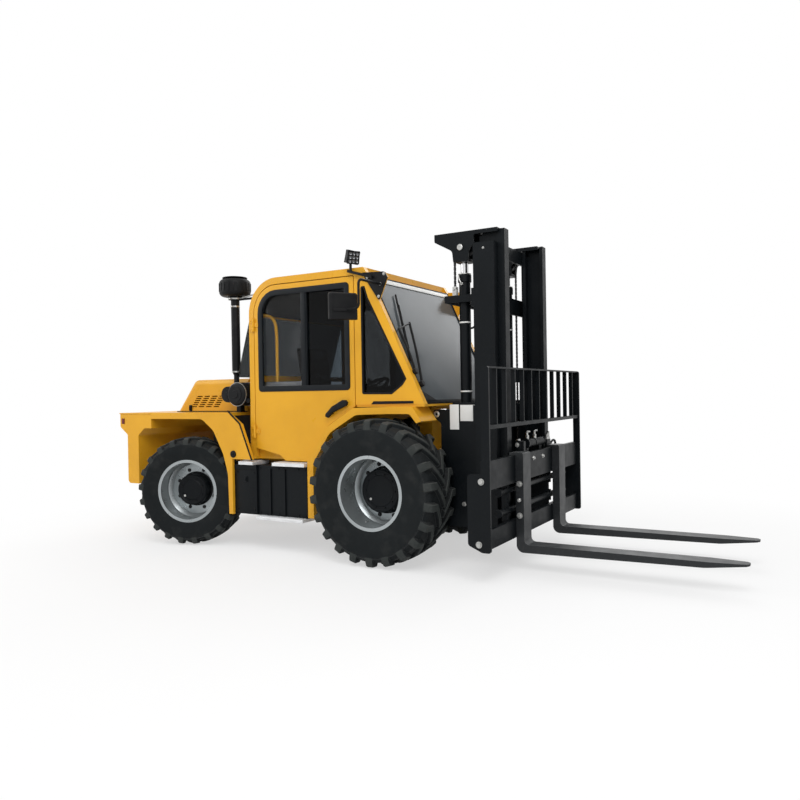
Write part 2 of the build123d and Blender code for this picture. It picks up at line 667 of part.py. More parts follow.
rear_pane_z = hood_top_z + 8
rear_pane_y = body_y - 42
rear_wall = 12.0
with BuildPart() as cab_glass:
    slab([(post_x, rear_pane_top_z), (post_x - rear_wall, rear_pane_top_z), (rear_wall_x[0], rear_pane_z),
          (rear_wall_x[0] + rear_wall, rear_pane_z)], (-rear_pane_y, rear_pane_y))
    corner = [(post_x, rear_pane_top_z), (post_x - rear_wall, rear_pane_top_z), (rear_wall_x[0], rear_pane_z),
              (post_x, rear_pane_z)]
    slab(corner, (-rear_pane_y - rear_wall, -rear_pane_y))
    slab(quarter, (-body_y + 22, -body_y + 22 + glass_wall))
    mirror(about=Plane.XZ)
save(cab_glass.part, "cab_glass")

# Seat on its box
seat_x = (-1230.0, -780.0)
seat_z = (1290.0, 1400.0)
seat_back_z = 1960.0
with BuildPart() as seat:
    block(seat_x, (-250, 250), seat_z)
    fillet(seat.edges().group_by(Axis.Z)[-1], 30)
    slab([(seat_x[0] - 60, seat_z[1] - 10), (seat_x[0] + 40, seat_z[1] - 10),
          (seat_x[0] - 60, seat_back_z, 30),
          (seat_x[0] - 150, seat_back_z, 30)], (-230, 230))
    block((seat_x[0] + 50, seat_x[1] - 50), (-190, 190), (floor_z[1], seat_z[0] + 1))
save(seat.part, "seat")

# Steering column with its wheel, dash box and side console
column_x = -560.0
dash_top_z = 1340.0
with BuildPart() as controls:
    slab([(column_x, floor_z[1]), (column_x, dash_top_z - 60), (column_x + 40, dash_top_z, 20),
          (column_x + 180, dash_top_z, 20), (column_x + 180, floor_z[1])], (-120, 120))
    with Locations(Location((column_x + 40, 0, dash_top_z + 80), (0, -30, 0))):
        Cylinder(22, 240)
    with Locations(Location((column_x - 15, 0, dash_top_z + 180), (0, -30, 0))):
        Torus(170, 16)
        Box(330, 26, 14)
        Box(26, 330, 14)
        Cylinder(35, 34)
    slab([(seat_x[0] - 20, floor_z[1]), (seat_x[0] - 20, seat_z[1] + 20, 20),
          (seat_x[1] - 120, seat_z[1] + 60, 20),
          (seat_x[1] - 120, floor_z[1])], (-560, -330))
save(controls.part, "controls")

# Air cleaner and intake stack
stack_x = -1712.0
stack_y = -705.0
stack_radius = 42.0
bowl_z = 2434.0
bowl_top_z = bowl_z + 190.0
bowl_radius = 152.0
bowl_round = 45.0
cleaner_x = -1600.0
cleaner_z = 1475.0
cleaner_radius = 112.0
canister_radius = 76.0
cleaner_y = (-850.0, -hood_y - run_gap)
with BuildPart() as air_intake:
    cross_rod(cleaner_x, cleaner_z, cleaner_y, cleaner_radius)
    fillet(air_intake.edges().group_by(Axis.Y)[0], 30)
    with Locations((cleaner_x + cleaner_radius + 10, cleaner_y[0] + 70, cleaner_z - 62)):
        Cylinder(22, 60, rotation=(90, 0, 0))
    block((cleaner_x + 40, cleaner_x + cleaner_radius + 10), (cleaner_y[0] + 55, cleaner_y[0] + 85),
          (cleaner_z - 72, cleaner_z - 52))
    cross_rod(stack_x - 20, cleaner_z, (cleaner_y[0] + 30, cleaner_y[1]), canister_radius)
    block((stack_x - 20, cleaner_x), (-700, cleaner_y[1]), (cleaner_z - 30, cleaner_z + 30))
    block((stack_x - 20, stack_x + 30), (-hood_y - 90, -hood_y - 30), (deck_z, cleaner_z))
    with BuildSketch(Plane.XZ.offset(-stack_y)) as section:
        with BuildLine():
            Polyline((stack_x, cleaner_z + 50), (stack_x + 26, cleaner_z + 50),
                     (stack_x + 26, cleaner_z + 190),
                     (stack_x + stack_radius, cleaner_z + 220), (stack_x + stack_radius, bowl_z - 30),
                     (stack_x + 66, bowl_z - 22), (stack_x + 66, bowl_z), (stack_x + bowl_radius, bowl_z),
                     (stack_x + bowl_radius, bowl_top_z - 30), (stack_x + 70, bowl_top_z - 8),
                     (stack_x, bowl_top_z), close=True)
        make_face()
        for corner in ((stack_x + bowl_radius, bowl_z), (stack_x + bowl_radius, bowl_top_z - 30)):
            fillet(section.vertices().sort_by_distance(corner)[0], bowl_round)
    revolve(section.sketch, axis=Axis((stack_x, stack_y, 0), (0, 0, 1)))
    block((stack_x, post_x - seat_gap), (stack_y - 8, stack_y + 8), (bowl_z - 40, bowl_z - 20))
save(air_intake.part, "air_intake")

# Work lamp on an arm at the right roof corner, and the tail lamps
bracket_y = (-body_y - gusset_wall, -body_y - seat_gap)
lamp_arm_y = (-body_y - 40.0, bracket_y[0] - seat_gap)
lamp_x = -262.0
lamp_size = (58.0, 112.0, 112.0)
with BuildPart() as lamps:
    slab([(lamp_x - 28, roof_z - 15), (lamp_x - 28, roof_z - 40), (-40, roof_z - 115), (-40, roof_z - 90)],
         lamp_arm_y)
    with Locations((lamp_x, lamp_arm_y[0] + 16, roof_z + 10)):
        Cylinder(12, 70)
    with Locations(Location((lamp_x + 14, lamp_arm_y[0] + 22, roof_z + 90), (0, 14, -35))):
        Box(*lamp_size)
    for y in (-tail_y + 20, tail_y - 110):
        block((tail_x - lamp_depth, tail_x), (y, y + 90), (deck_z - 110, deck_z - 50))
save(lamps.part, "lamps")

# Mirrors on bent tubes from bracket plates on the gussets
mirror_x = -128.0
mirror_y = 1150.0
mirror_z = 2185.0
mirror_size = (60.0, 250.0, 220.0)
arm_x = 30.0
arm_radius = 11.0
arm_bend = 45.0
arm_top_z = roof_z - 165.0
arm_low_z = mirror_z - 30.0
with BuildPart() as mirrors:
    with Locations(Location((mirror_x, -mirror_y, mirror_z), (0, 0, -35))):
        Box(*mirror_size)
    fillet(mirrors.edges().filter_by(Axis.Z), 22)
    fillet(mirrors.edges().group_by(Axis.Z)[-1], 18)
    pipe([(arm_x, bracket_y[0] + sink, arm_top_z), (arm_x, -mirror_y, arm_top_z),
          (arm_x, -mirror_y, arm_low_z),
          (mirror_x, -mirror_y, arm_low_z)], arm_radius, arm_bend)
    slab(gusset, bracket_y)
    mirror(about=Plane.XZ)
save(mirrors.part, "mirrors")

# Mast, outer stage
def channel(side, x, depth, z):
    """A mast rail, its web outside at side and its flanges turned inwards."""
    with BuildSketch(Plane.XY.offset(z[0])) as section:
        with BuildLine():
            Polyline((x[0], -side), (x[1], -side), (x[1], -side + depth), (x[1] - rail_flange, -side + depth),
                     (x[1] - rail_flange, -side + rail_web), (x[0] + rail_flange, -side + rail_web),
                     (x[0] + rail_flange, -side + depth), (x[0], -side + depth), close=True)
        make_face()
    extrude(section.sketch, amount=z[1] - z[0])


tie_half = 30.0
tie_x = (cylinder_x - 153.0, cylinder_x - 123.0)
bar_half = 75.0
bar_wall = 20.0
shelf_z = outer_bottom_z + bar_wall
with BuildPart() as mast_outer:
    channel(outer_y, (outer_rear_x, outer_front_x), outer_depth, (outer_bottom_z, outer_top_z))
    cheek_top = tilt_eye_z + 40
    side = [(tilt_eye_x - 30, tilt_eye_z - 30, 20), (tilt_eye_x - 30, cheek_top, 20), (560, cheek_top),
            (575, cheek_top + 60, 15), (outer_rear_x + 5, cheek_top + 60), (outer_rear_x + 5, outer_bottom_z),
            (mast_pivot_x - 50, outer_bottom_z, 30), (mast_pivot_x - 75, mast_pivot_z - 160, 30),
            (mast_pivot_x - 75, mast_pivot_z + 140, 60), (mast_pivot_x - 38, mast_pivot_z + 300, 60),
            (mast_pivot_x - 38, tilt_eye_z - 75, 40)]
    slab(side, (-plate_y[1], -plate_y[0]))
    slab([(tilt_eye_x - 40, tilt_eye_z - 40, 30), (tilt_eye_x - 40, cheek_top, 30), (outer_rear_x, cheek_top),
          (outer_rear_x, tilt_eye_z - 40)], (-cheek_y[1], -cheek_y[0]))
    block((tie_x[0], outer_rear_x + 5), (-plate_y[1], -plate_y[0]), (tie_z - tie_half, tie_z + tie_half))
    mirror(about=Plane.XZ)
    cross_rod(mast_pivot_x, mast_pivot_z, (-outer_y, outer_y), mast_pin_radius + shaft_gap,
              mode=Mode.SUBTRACT)
    for z in (outer_bottom_z + bar_half, tilt_eye_z, tie_z):
        block((outer_rear_x - bar_wall, outer_rear_x), (-outer_y, outer_y), (z - bar_half, z + bar_half))
    block(tie_x, (-plate_y[1], plate_y[1]), (tie_z - tie_half, tie_z + tie_half))
    block((cylinder_x - 68, outer_rear_x), (-plate_y[1], plate_y[1]), (outer_bottom_z, shelf_z))
    for sign in (-1, 1):
        block((tie_x[1] - 5, cylinder_x + 67), (sign * (cylinder_y - 65), sign * (plate_y[0] + 5)),
              (tie_z - tie_half / 2, tie_z + tie_half / 2))
        with Locations((cylinder_x, sign * cylinder_y, tie_z)):
            Cylinder(cylinder_radius + seat_gap, 2 * tie_half + 20, mode=Mode.SUBTRACT)
        with Locations((cylinder_x - sheave_radius - chain_wall / 2, sign * cylinder_y, tie_z)):
            Box(chain_wall + 14, chain_width + 20, 2 * tie_half + 20, mode=Mode.SUBTRACT)
        pin_y = (sign * cheek_y[0], sign * (plate_y[1] - 5))
        cross_rod(tilt_eye_x, tilt_eye_z, pin_y, tilt_pin_radius)
save(mast_outer.part, "mast_outer")

# Lift cylinders with their glands
gland_height = 60.0
gland_radius = cylinder_radius + 9.0
bore_floor_z = shelf_z + 15.0
with BuildPart() as lift_cylinders:
    for sign in (-1, 1):
        for z, radius in (((shelf_z, barrel_top_z), cylinder_radius),
                          ((barrel_top_z - gland_height, barrel_top_z), gland_radius)):
            with Locations((cylinder_x, sign * cylinder_y, (z[0] + z[1]) / 2)):
                Cylinder(radius, z[1] - z[0])
        with Locations((cylinder_x, sign * cylinder_y, bore_floor_z)):
            Cylinder(lift_rod_radius + shaft_gap, barrel_top_z,
                     align=(Align.CENTER, Align.CENTER, Align.MIN), mode=Mode.SUBTRACT)
save(lift_cylinders.part, "lift_cylinders")

# Mast, inner stage with its crosshead and sheaves
head_plates = ((402.0, 420.0), (540.0, 558.0))
head_x = (425.0, 1000.0)
head_z = inner_top_z + 5.0
head = [(head_x[0], head_z, 15), (head_x[0], inner_top_z - 60, 20), (590, inner_top_z - 150, 40),
        (cylinder_x - 68, rod_top_z), (cylinder_x + 68, rod_top_z), (cylinder_x + 77, inner_top_z - 150, 40),
        (790, inner_top_z - 100, 20), (790, inner_top_z - 28, 15), (head_x[1], inner_top_z - 28),
        (head_x[1], head_z)]
with BuildPart() as mast_inner:
    channel(inner_y, (inner_rear_x, inner_front_x), inner_depth, (inner_bottom_z, inner_top_z))
    for y in head_plates:
        slab(head, (-y[1], -y[0]))
    block(head_x, (-head_plates[1][1], -head_plates[0][0]), (inner_top_z - 18, head_z))
    block((cylinder_x - 66, cylinder_x + 66), (-head_plates[1][0] - 5, -head_plates[0][1] + 5),
          (rod_top_z, rod_top_z + 25))
    cross_rod(cylinder_x, sheave_z, (-head_plates[1][1] - 8, -head_plates[0][0] + 8), 24)
    cross_rod(cylinder_x, sheave_z, (-cylinder_y - 22, -cylinder_y + 22), sheave_radius)
    mirror(about=Plane.XZ)
    for z in (inner_bottom_z + 255, inner_bottom_z + 1255, inner_top_z - 100):
        block((inner_rear_x - 26, inner_rear_x), (-inner_y, inner_y), (z - 60, z + 60))
save(mast_inner.part, "mast_inner")

rod_bottom_z = bore_floor_z + 85.0
with BuildPart() as lift_rods:
    for sign in (-1, 1):
        with Locations((cylinder_x, sign * cylinder_y, (rod_top_z + rod_bottom_z) / 2)):
            Cylinder(lift_rod_radius, rod_top_z - rod_bottom_z)
save(lift_rods.part, "lift_rods")

# Lift chains over the sheaves
chain_out = sheave_radius + chain_wall
with BuildPart() as lift_chains:
    for sign in (-1, 1):
        y = (sign * cylinder_y - chain_width / 2, sign * cylinder_y + chain_width / 2)
        cross_rod(cylinder_x, sheave_z, y, chain_out)
        cross_rod(cylinder_x, sheave_z, (y[0] - 1, y[1] + 1), sheave_radius + seat_gap, mode=Mode.SUBTRACT)
        with Locations((cylinder_x, sign * cylinder_y, sheave_z - chain_out)):
            Box(3 * chain_out, 3 * chain_width, 2 * chain_out, mode=Mode.SUBTRACT)
        block((cylinder_x + sheave_radius + seat_gap, cylinder_x + chain_out), y,
              (bore_floor_z + 70, sheave_z))
        block((cylinder_x - chain_out, cylinder_x - sheave_radius - seat_gap), y, (tie_z - 40, sheave_z))
save(lift_chains.part, "lift_chains")

# Lift carriage with its rollers, the side shift barrel and the shafts that guide the fork frame
roller_radius = (inner_front_x - inner_rear_x) / 2 - rail_flange - seat_gap
roller_z = (410.0, 750.0)
carriage_z = (335.0, 830.0)
carriage_x = (875.0, frame_rear_x - 8.0)
carriage_bar_x = 1052.0
carriage_plate_y = (390.0, 412.0)
shift_barrel_y = (-180.0, 250.0)
with BuildPart() as carriage:
    slab([(carriage_x[0], carriage_z[0], 40), (carriage_x[0], carriage_z[1], 40),
          (carriage_x[1], carriage_z[1]),
          (carriage_x[1], carriage_z[0])], (-carriage_plate_y[1], -carriage_plate_y[0]))
    for z in roller_z:
        cross_rod((inner_rear_x + inner_front_x) / 2, z,
                  (-inner_y + rail_web + 4, -carriage_plate_y[0] - 5), roller_radius)
    mirror(about=Plane.XZ)
    for z in ((carriage_z[0], carriage_z[0] + 75), (carriage_z[1] - 85, carriage_z[1])):
        block((carriage_bar_x, carriage_x[1]), (-720, 720), z)
    for z in shift_shaft_z:
        cross_rod(shift_shaft_x, z, (-800, 800), shift_shaft_radius)
        for sign in (-1, 1):
            y = (sign * carriage_plate_y[0], sign * carriage_plate_y[1])
            block((carriage_bar_x - 22, shift_shaft_x + 20), y, (z - 50, z + 50))
    cross_rod(shift_x, shift_z, shift_barrel_y, shift_barrel_radius)
    cross_rod(shift_x, shift_z, (shift_barrel_y[0], shift_barrel_y[0] + 30), shift_barrel_radius + 8)
    cross_rod(shift_x, shift_z, (shift_barrel_y[0] - 1, shift_barrel_y[1] - 50),
              shift_rod_radius + shaft_gap, mode=Mode.SUBTRACT)
    for y in (shift_barrel_y[0] + 50, shift_barrel_y[1] - 60):
        block((carriage_bar_x, carriage_x[1]), (y - 25, y + 25), (carriage_z[1] - 5, shift_z - 25))
save(carriage.part, "carriage")

# Fork frame that shifts sideways
backrest_x = (1108.0, 1148.0)
cheek_x = (975.0, 1160.0)
clevis_y = (-350.0, -310.0)
with BuildPart() as fork_frame:
    cheek = [(cheek_x[0], 312, 30), (cheek_x[0], 845, 30), (1095, 845, 30), (1095, backrest_top_z, 20),
             (cheek_x[1], backrest_top_z, 20), (cheek_x[1], lower_bar[0] - 13, 20),
             (1090, lower_bar[0] - 13, 40)]
    slab(cheek, (-frame_half_width, -frame_half_width + frame_plate))
    block((carriage_bar_x - 6, frame_rear_x + 10), (-660, -620), (lower_bar[1] - 5, upper_bar[0] + 5))
    mirror(about=Plane.XZ)
    for z in (upper_bar, lower_bar):
        block((frame_rear_x, frame_front_x), (-frame_half_width + 2, frame_half_width - 2), z)
    for z in shift_shaft_z:
        cross_rod(shift_shaft_x, z, (-700, 700), shift_shaft_radius + shaft_gap, mode=Mode.SUBTRACT)
    cross_rod(shift_x, shift_z, (clevis_y[0] + 5, 60), shift_rod_radius)
    block((shift_x - 18, frame_front_x), clevis_y, (upper_bar[1] - 5, shift_z + 30))
save(fork_frame.part, "fork_frame")

bar_pitch = 2 * frame_half_width / (backrest_bars + 1)
bar_half_wall = 7.0
with BuildPart() as backrest:
    half = frame_half_width - frame_plate
    for z in ((backrest_top_z - 14, backrest_top_z), (backrest_bottom_z, backrest_bottom_z + 30)):
        block(backrest_x, (-half, half), z)
    for count in range(backrest_bars):
        y = (count + 1) * bar_pitch - frame_half_width
        block((backrest_x[0] + 2, backrest_x[1] - 2), (y - bar_half_wall, y + bar_half_wall),
              (backrest_bottom_z + 10, backrest_top_z - 5))
save(backrest.part, "backrest")

# Forks with hooked tops, rounded heels and tips that narrow
fork_rear_x = frame_front_x + seat_gap
hook_z = upper_bar[1] + seat_gap
hook_wall = 22.0
tip_taper = 260.0
tip_half = 42.0
with BuildPart() as forks:
    blade = [(fork_rear_x, upper_bar[1] + hook_wall), (fork_rear_x - 52, upper_bar[1] + hook_wall),
             (fork_rear_x - 52, hook_z),
             (fork_rear_x, hook_z), (fork_rear_x, fork_top_z - fork_wall, 60),
             (fork_tip_x - 300, fork_top_z - 44),
             (fork_tip_x, fork_top_z - 14), (fork_tip_x, fork_top_z),
             (fork_rear_x + fork_wall, fork_top_z, 40),
             (fork_rear_x + fork_wall, upper_bar[1] + hook_wall, 20)]
    slab(blade, (-fork_y - fork_width / 2, -fork_y + fork_width / 2))
    with BuildSketch(Plane.XY.offset(fork_top_z - fork_wall)) as tip:
        for sign in (-1, 1):
            with BuildLine():
                Polyline((fork_tip_x - tip_taper, -fork_y + sign * fork_width / 2),
                         (fork_tip_x - 20, -fork_y + sign * (tip_half + 10)),
                         (fork_tip_x + sink, -fork_y + sign * tip_half / 2),
                         (fork_tip_x + sink, -fork_y + sign * (fork_width / 2 + sink)),
                         (fork_tip_x - tip_taper, -fork_y + sign * (fork_width / 2 + sink)), close=True)
            make_face()
    extrude(tip.sketch, amount=2 * fork_wall, mode=Mode.SUBTRACT)
    mirror(about=Plane.XZ)
save(forks.part, "forks")

# Tilt cylinders, made along X from the eye of the barrel
tilt_length = math.hypot(tilt_eye_x - tilt_anchor_x, tilt_eye_z - tilt_anchor_z)
tilt_angle = math.degrees(math.atan2(tilt_eye_z - tilt_anchor_z, tilt_eye_x - tilt_anchor_x))
tilt_eye_half = 52.0
barrel_x = (35.0, 455.0)
rod_x = (215.0, tilt_length - 30.0)
with BuildPart() as tilt_barrel:
    cross_rod(0, 0, (-tilt_eye_half, tilt_eye_half), 40)
    for x, radius in ((barrel_x, tilt_barrel_radius),
                      ((barrel_x[1] - 50, barrel_x[1]), tilt_barrel_radius + 7)):
        with Locations(((x[0] + x[1]) / 2, 0, 0)):
            Cylinder(radius, x[1] - x[0], rotation=(0, 90, 0))
    with Locations(((rod_x[0] - 125 + barrel_x[1] + sink) / 2, 0, 0)):
        Cylinder(tilt_rod_radius + shaft_gap, barrel_x[1] + sink - rod_x[0] + 125, rotation=(0, 90, 0),
                 mode=Mode.SUBTRACT)
    cross_rod(0, 0, (-tilt_eye_half - 1, tilt_eye_half + 1), tilt_pin_radius + shaft_gap, mode=Mode.SUBTRACT)
with BuildPart() as tilt_rod:
    with Locations(((rod_x[0] + rod_x[1]) / 2, 0, 0)):
        Cylinder(tilt_rod_radius, rod_x[1] - rod_x[0], rotation=(0, 90, 0))
    cross_rod(tilt_length, 0, (-tilt_eye_half, tilt_eye_half), 48)
    cross_rod(tilt_length, 0, (-tilt_eye_half - 1, tilt_eye_half + 1), tilt_pin_radius + tilt_eye_slack,
              mode=Mode.SUBTRACT)
for name, piece in (("tilt_barrels", tilt_barrel.part), ("tilt_rods", tilt_rod.part)):
    with BuildPart() as pair:
        for sign in (-1, 1):
            add(piece.moved(Location((tilt_anchor_x, sign * tilt_y, tilt_anchor_z), (0, -tilt_angle, 0))))
    save(pair.part, name)
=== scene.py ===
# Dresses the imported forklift: a procedural material for each solid, and the small pieces they leave out.
import math

import bmesh
import bpy
from mathutils import Matrix, Vector


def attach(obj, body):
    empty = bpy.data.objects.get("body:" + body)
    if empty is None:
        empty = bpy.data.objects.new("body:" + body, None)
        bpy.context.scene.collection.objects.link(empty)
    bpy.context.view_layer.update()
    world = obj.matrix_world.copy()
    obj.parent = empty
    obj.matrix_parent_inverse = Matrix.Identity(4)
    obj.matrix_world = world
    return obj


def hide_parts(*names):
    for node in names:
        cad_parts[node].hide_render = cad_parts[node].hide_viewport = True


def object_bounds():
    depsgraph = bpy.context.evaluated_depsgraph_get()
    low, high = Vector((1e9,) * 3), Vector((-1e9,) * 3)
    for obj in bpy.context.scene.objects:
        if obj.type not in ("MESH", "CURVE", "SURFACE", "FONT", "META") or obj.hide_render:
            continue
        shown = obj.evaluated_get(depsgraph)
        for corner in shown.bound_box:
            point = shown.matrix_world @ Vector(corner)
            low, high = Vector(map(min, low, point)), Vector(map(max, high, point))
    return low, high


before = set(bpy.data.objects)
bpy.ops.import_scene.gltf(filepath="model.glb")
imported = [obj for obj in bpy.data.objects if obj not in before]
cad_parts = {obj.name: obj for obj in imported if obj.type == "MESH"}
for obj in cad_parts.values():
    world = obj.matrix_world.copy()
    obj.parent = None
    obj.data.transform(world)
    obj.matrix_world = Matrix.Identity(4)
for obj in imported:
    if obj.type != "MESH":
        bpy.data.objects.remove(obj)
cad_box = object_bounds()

# Places are in millimetres from the front axle on the ground, X forward, Y left, as in the part's source
axle_shift = 180.5


def at(x, y, z):
    return Vector(((x + axle_shift) / 1000, y / 1000, z / 1000))


# Camera at the photograph's view
focal_px = 731.77
image_px = 800
sensor_mm = 36.0
yaw = math.radians(30.10)
pitch = math.radians(0.53)
roll = math.radians(-0.96)
camera_place = (3296.2, -6141.9, 1459.3)
forward = Vector((-math.sin(yaw) * math.cos(pitch), math.cos(yaw) * math.cos(pitch), -math.sin(pitch)))
level_right = forward.cross(Vector((0, 0, 1))).normalized()
level_up = level_right.cross(forward)
right = level_right * math.cos(roll) + level_up * math.sin(roll)
up = level_up * math.cos(roll) - level_right * math.sin(roll)
camera_data = bpy.data.cameras.new("camera")
camera_data.sensor_width = sensor_mm
camera_data.lens = focal_px / image_px * sensor_mm
camera = bpy.data.objects.new("camera", camera_data)
camera_turn = Matrix((right, up, -forward)).transposed().to_4x4()
camera.matrix_world = Matrix.Translation(at(*camera_place)) @ camera_turn
bpy.context.collection.objects.link(camera)
scene = bpy.context.scene
scene.camera = camera
scene.view_settings.view_transform = "Standard"


# Material building blocks
def settle(node, values):
    """Sets the named inputs of a node."""
    for name, value in values.items():
        node.inputs[name].default_value = value


class Material:
    """A principled material with a few helpers for its procedural detail."""

    def __init__(self, name, roughness=0.5, metallic=0.0, gloss=0.5):
        self.material = bpy.data.materials.new(name)
        self.material.use_nodes = True
        self.tree = self.material.node_tree
        self.shader = self.tree.nodes["Principled BSDF"]
        settle(self.shader, {"Specular IOR Level": gloss, "Roughness": roughness, "Metallic": metallic})
        self.place = self.node("ShaderNodeTexCoord").outputs["Object"]

    def node(self, kind, **settings):
        made = self.tree.nodes.new(kind)
        for name, value in settings.items():
            setattr(made, name, value)
        return made

    def feed(self, socket, value):
        if isinstance(value, bpy.types.NodeSocket):
            self.tree.links.new(value, socket)
        else:
            socket.default_value = value

    def tint(self, socket, colour):
        self.feed(socket, colour if isinstance(colour, bpy.types.NodeSocket) else (*colour, 1.0))

    def noise(self, scale, detail=4.0, roughness=0.55, stretch=None):
        texture = self.node("ShaderNodeTexNoise")
        settle(texture, {"Scale": scale, "Detail": detail, "Roughness": roughness})
        place = self.place
        if stretch:
            mapping = self.node("ShaderNodeMapping")
            mapping.inputs["Scale"].default_value = stretch
            self.feed(mapping.inputs["Vector"], place)
            place = mapping.outputs["Vector"]
        self.feed(texture.inputs["Vector"], place)
        return texture.outputs["Fac"]

    def spread(self, value, low, high, to_low=0.0, to_high=1.0):
        remap = self.node("ShaderNodeMapRange")
        settle(remap, {"From Min": low, "From Max": high, "To Min": to_low, "To Max": to_high})
        self.feed(remap.inputs["Value"], value)
        return remap.outputs["Result"]

    def math(self, operation, first, second):
        calculate = self.node("ShaderNodeMath", operation=operation)
        self.feed(calculate.inputs[0], first)
        self.feed(calculate.inputs[1], second)
        return calculate.outputs["Value"]

    def mix(self, factor, first, second):
        blend = self.node("ShaderNodeMix", data_type="RGBA")
        self.feed(blend.inputs["Factor"], factor)
        for name, colour in (("A", first), ("B", second)):
            socket = [s for s in blend.inputs if s.name == name and s.type == "RGBA"][0]
            self.tint(socket, colour)
        return [s for s in blend.outputs if s.type == "RGBA"][0]

    def facing_up(self):
        """1 on level upward faces, 0 on walls."""
        normal = self.node("ShaderNodeSeparateXYZ")
        self.feed(normal.inputs["Vector"], self.node("ShaderNodeNewGeometry").outputs["Normal"])
        return self.spread(normal.outputs["Z"], 0.35, 0.95)

    def edges(self, radius):
        """1 along sharp edges, 0 elsewhere."""
        bevel = self.node("ShaderNodeBevel", samples=4)
        bevel.inputs["Radius"].default_value = radius
        dot = self.node("ShaderNodeVectorMath", operation="DOT_PRODUCT")
        self.feed(dot.inputs[0], bevel.outputs["Normal"])
        self.feed(dot.inputs[1], self.node("ShaderNodeNewGeometry").outputs["Normal"])
        return self.spread(dot.outputs["Value"], 0.98, 0.75)

    def bump(self, height, strength, distance):
        bump = self.node("ShaderNodeBump")
        settle(bump, {"Strength": strength, "Distance": distance})
        self.feed(bump.inputs["Height"], height)
        self.feed(self.shader.inputs["Normal"], bump.outputs["Normal"])

    def colour(self, value):
        self.tint(self.shader.inputs["Base Color"], value)

    def rough(self, value):
        self.feed(self.shader.inputs["Roughness"], value)


def painted(name, colour, shade, dust, roughness, dust_amount, gloss=0.4, orange_peel=0.05):
    """Sprayed paint with cloudy shade, dust on its level faces and a fine ripple."""
    made = Material(name, gloss=gloss)
    cloud = made.spread(made.noise(1.7, 6), 0.35, 0.7)
    body = made.mix(cloud, shade, colour)
    lying = made.math("MULTIPLY", made.facing_up(), made.spread(made.noise(14, 8), 0.35, 0.75))
    specks = made.spread(made.noise(38, 8), 0.55, 0.85, 0, dust_amount * 0.5)
    film = made.math("ADD", made.math("MULTIPLY", lying, dust_amount), specks)
    made.colour(made.mix(film, body, dust))
    sheen = made.spread(made.noise(9, 6), 0.3, 0.7, roughness - 0.06, roughness + 0.08)
    made.rough(made.math("ADD", sheen, made.math("MULTIPLY", film, 0.35)))
    made.bump(made.noise(420, 2), orange_peel, 0.0006)
    return made


def worn_metal(name, colour, dark, roughness, metallic, scratch=(1, 1, 1)):
    """Bare or plated metal with scuffs drawn out along the stretch."""
    made = Material(name, metallic=metallic)
    scuff = made.noise(60, 6, stretch=scratch)
    made.colour(made.mix(made.spread(scuff, 0.3, 0.75), dark, colour))
    made.rough(made.spread(made.noise(25, 5, stretch=scratch), 0.3, 0.75, roughness - 0.08, roughness + 0.12))
    made.bump(scuff, 0.06, 0.0006)
    return made


def moulded(name, colour, roughness, grain, grain_strength, dust_amount=0.1, gloss=0.14):
    """Moulded plastic, vinyl or rubber with a fine grain and a little dust."""
    made = Material(name, gloss=gloss)
    dust = made.spread(made.noise(7, 8), 0.5, 0.85, 0, dust_amount)
    lying = made.math("MULTIPLY", made.facing_up(), dust_amount)
    made.colour(made.mix(made.math("ADD", dust, lying), colour, (0.16, 0.155, 0.145)))
    made.rough(made.spread(made.noise(18, 5), 0.3, 0.7, roughness - 0.07, roughness + 0.09))
    cell = made.node("ShaderNodeTexVoronoi")
    cell.inputs["Scale"].default_value = grain
    made.feed(cell.inputs["Vector"], made.place)
    made.bump(cell.outputs["Distance"], grain_strength, 0.0008)
    return made


def pane(name, tint, roughness, clear=1.0, bend=1.2, gloss=0.5, open_tint=None, open_part=None):
    """Tinted safety glass with a thin film of dust, clearer where open_part is 1."""
    made = Material(name, roughness=roughness, gloss=gloss)
    settle(made.shader, {"Transmission Weight": clear, "IOR": bend})
    smear = made.spread(made.noise(5, 7), 0.45, 0.85, 0, 0.25)
    body = made.mix(smear, tint, tuple(min(1.0, part * 1.25) for part in tint))
    if open_part:
        body = made.mix(open_part(made), body, open_tint)
    made.colour(body)
    made.rough(made.spread(made.noise(11, 6), 0.4, 0.8, roughness, roughness + 0.08))
    return made


# Edges of the clearer panes in metres, in the objects' own frame
window_split_x = -0.640
corner_y = 0.7575
corner_x = -1.2


def place_axis(made, axis):
    """One coordinate of the object's own frame, in metres."""
    split = made.node("ShaderNodeSeparateXYZ")
    made.feed(split.inputs["Vector"], made.place)
    return split.outputs[axis]


def rear_half(made):
    """1 behind the middle bar of the door windows, where the sliding pane is drawn back."""
    return made.spread(place_axis(made, "X"), window_split_x, window_split_x - 0.005)


def corner_pane(made):
    """1 on the pale panes at the rear corners of the cab."""
    outside = made.math("GREATER_THAN", made.math("ABSOLUTE", place_axis(made, "Y"), 0.0), corner_y)
    return made.math("MULTIPLY", outside, made.math("LESS_THAN", place_axis(made, "X"), corner_x))


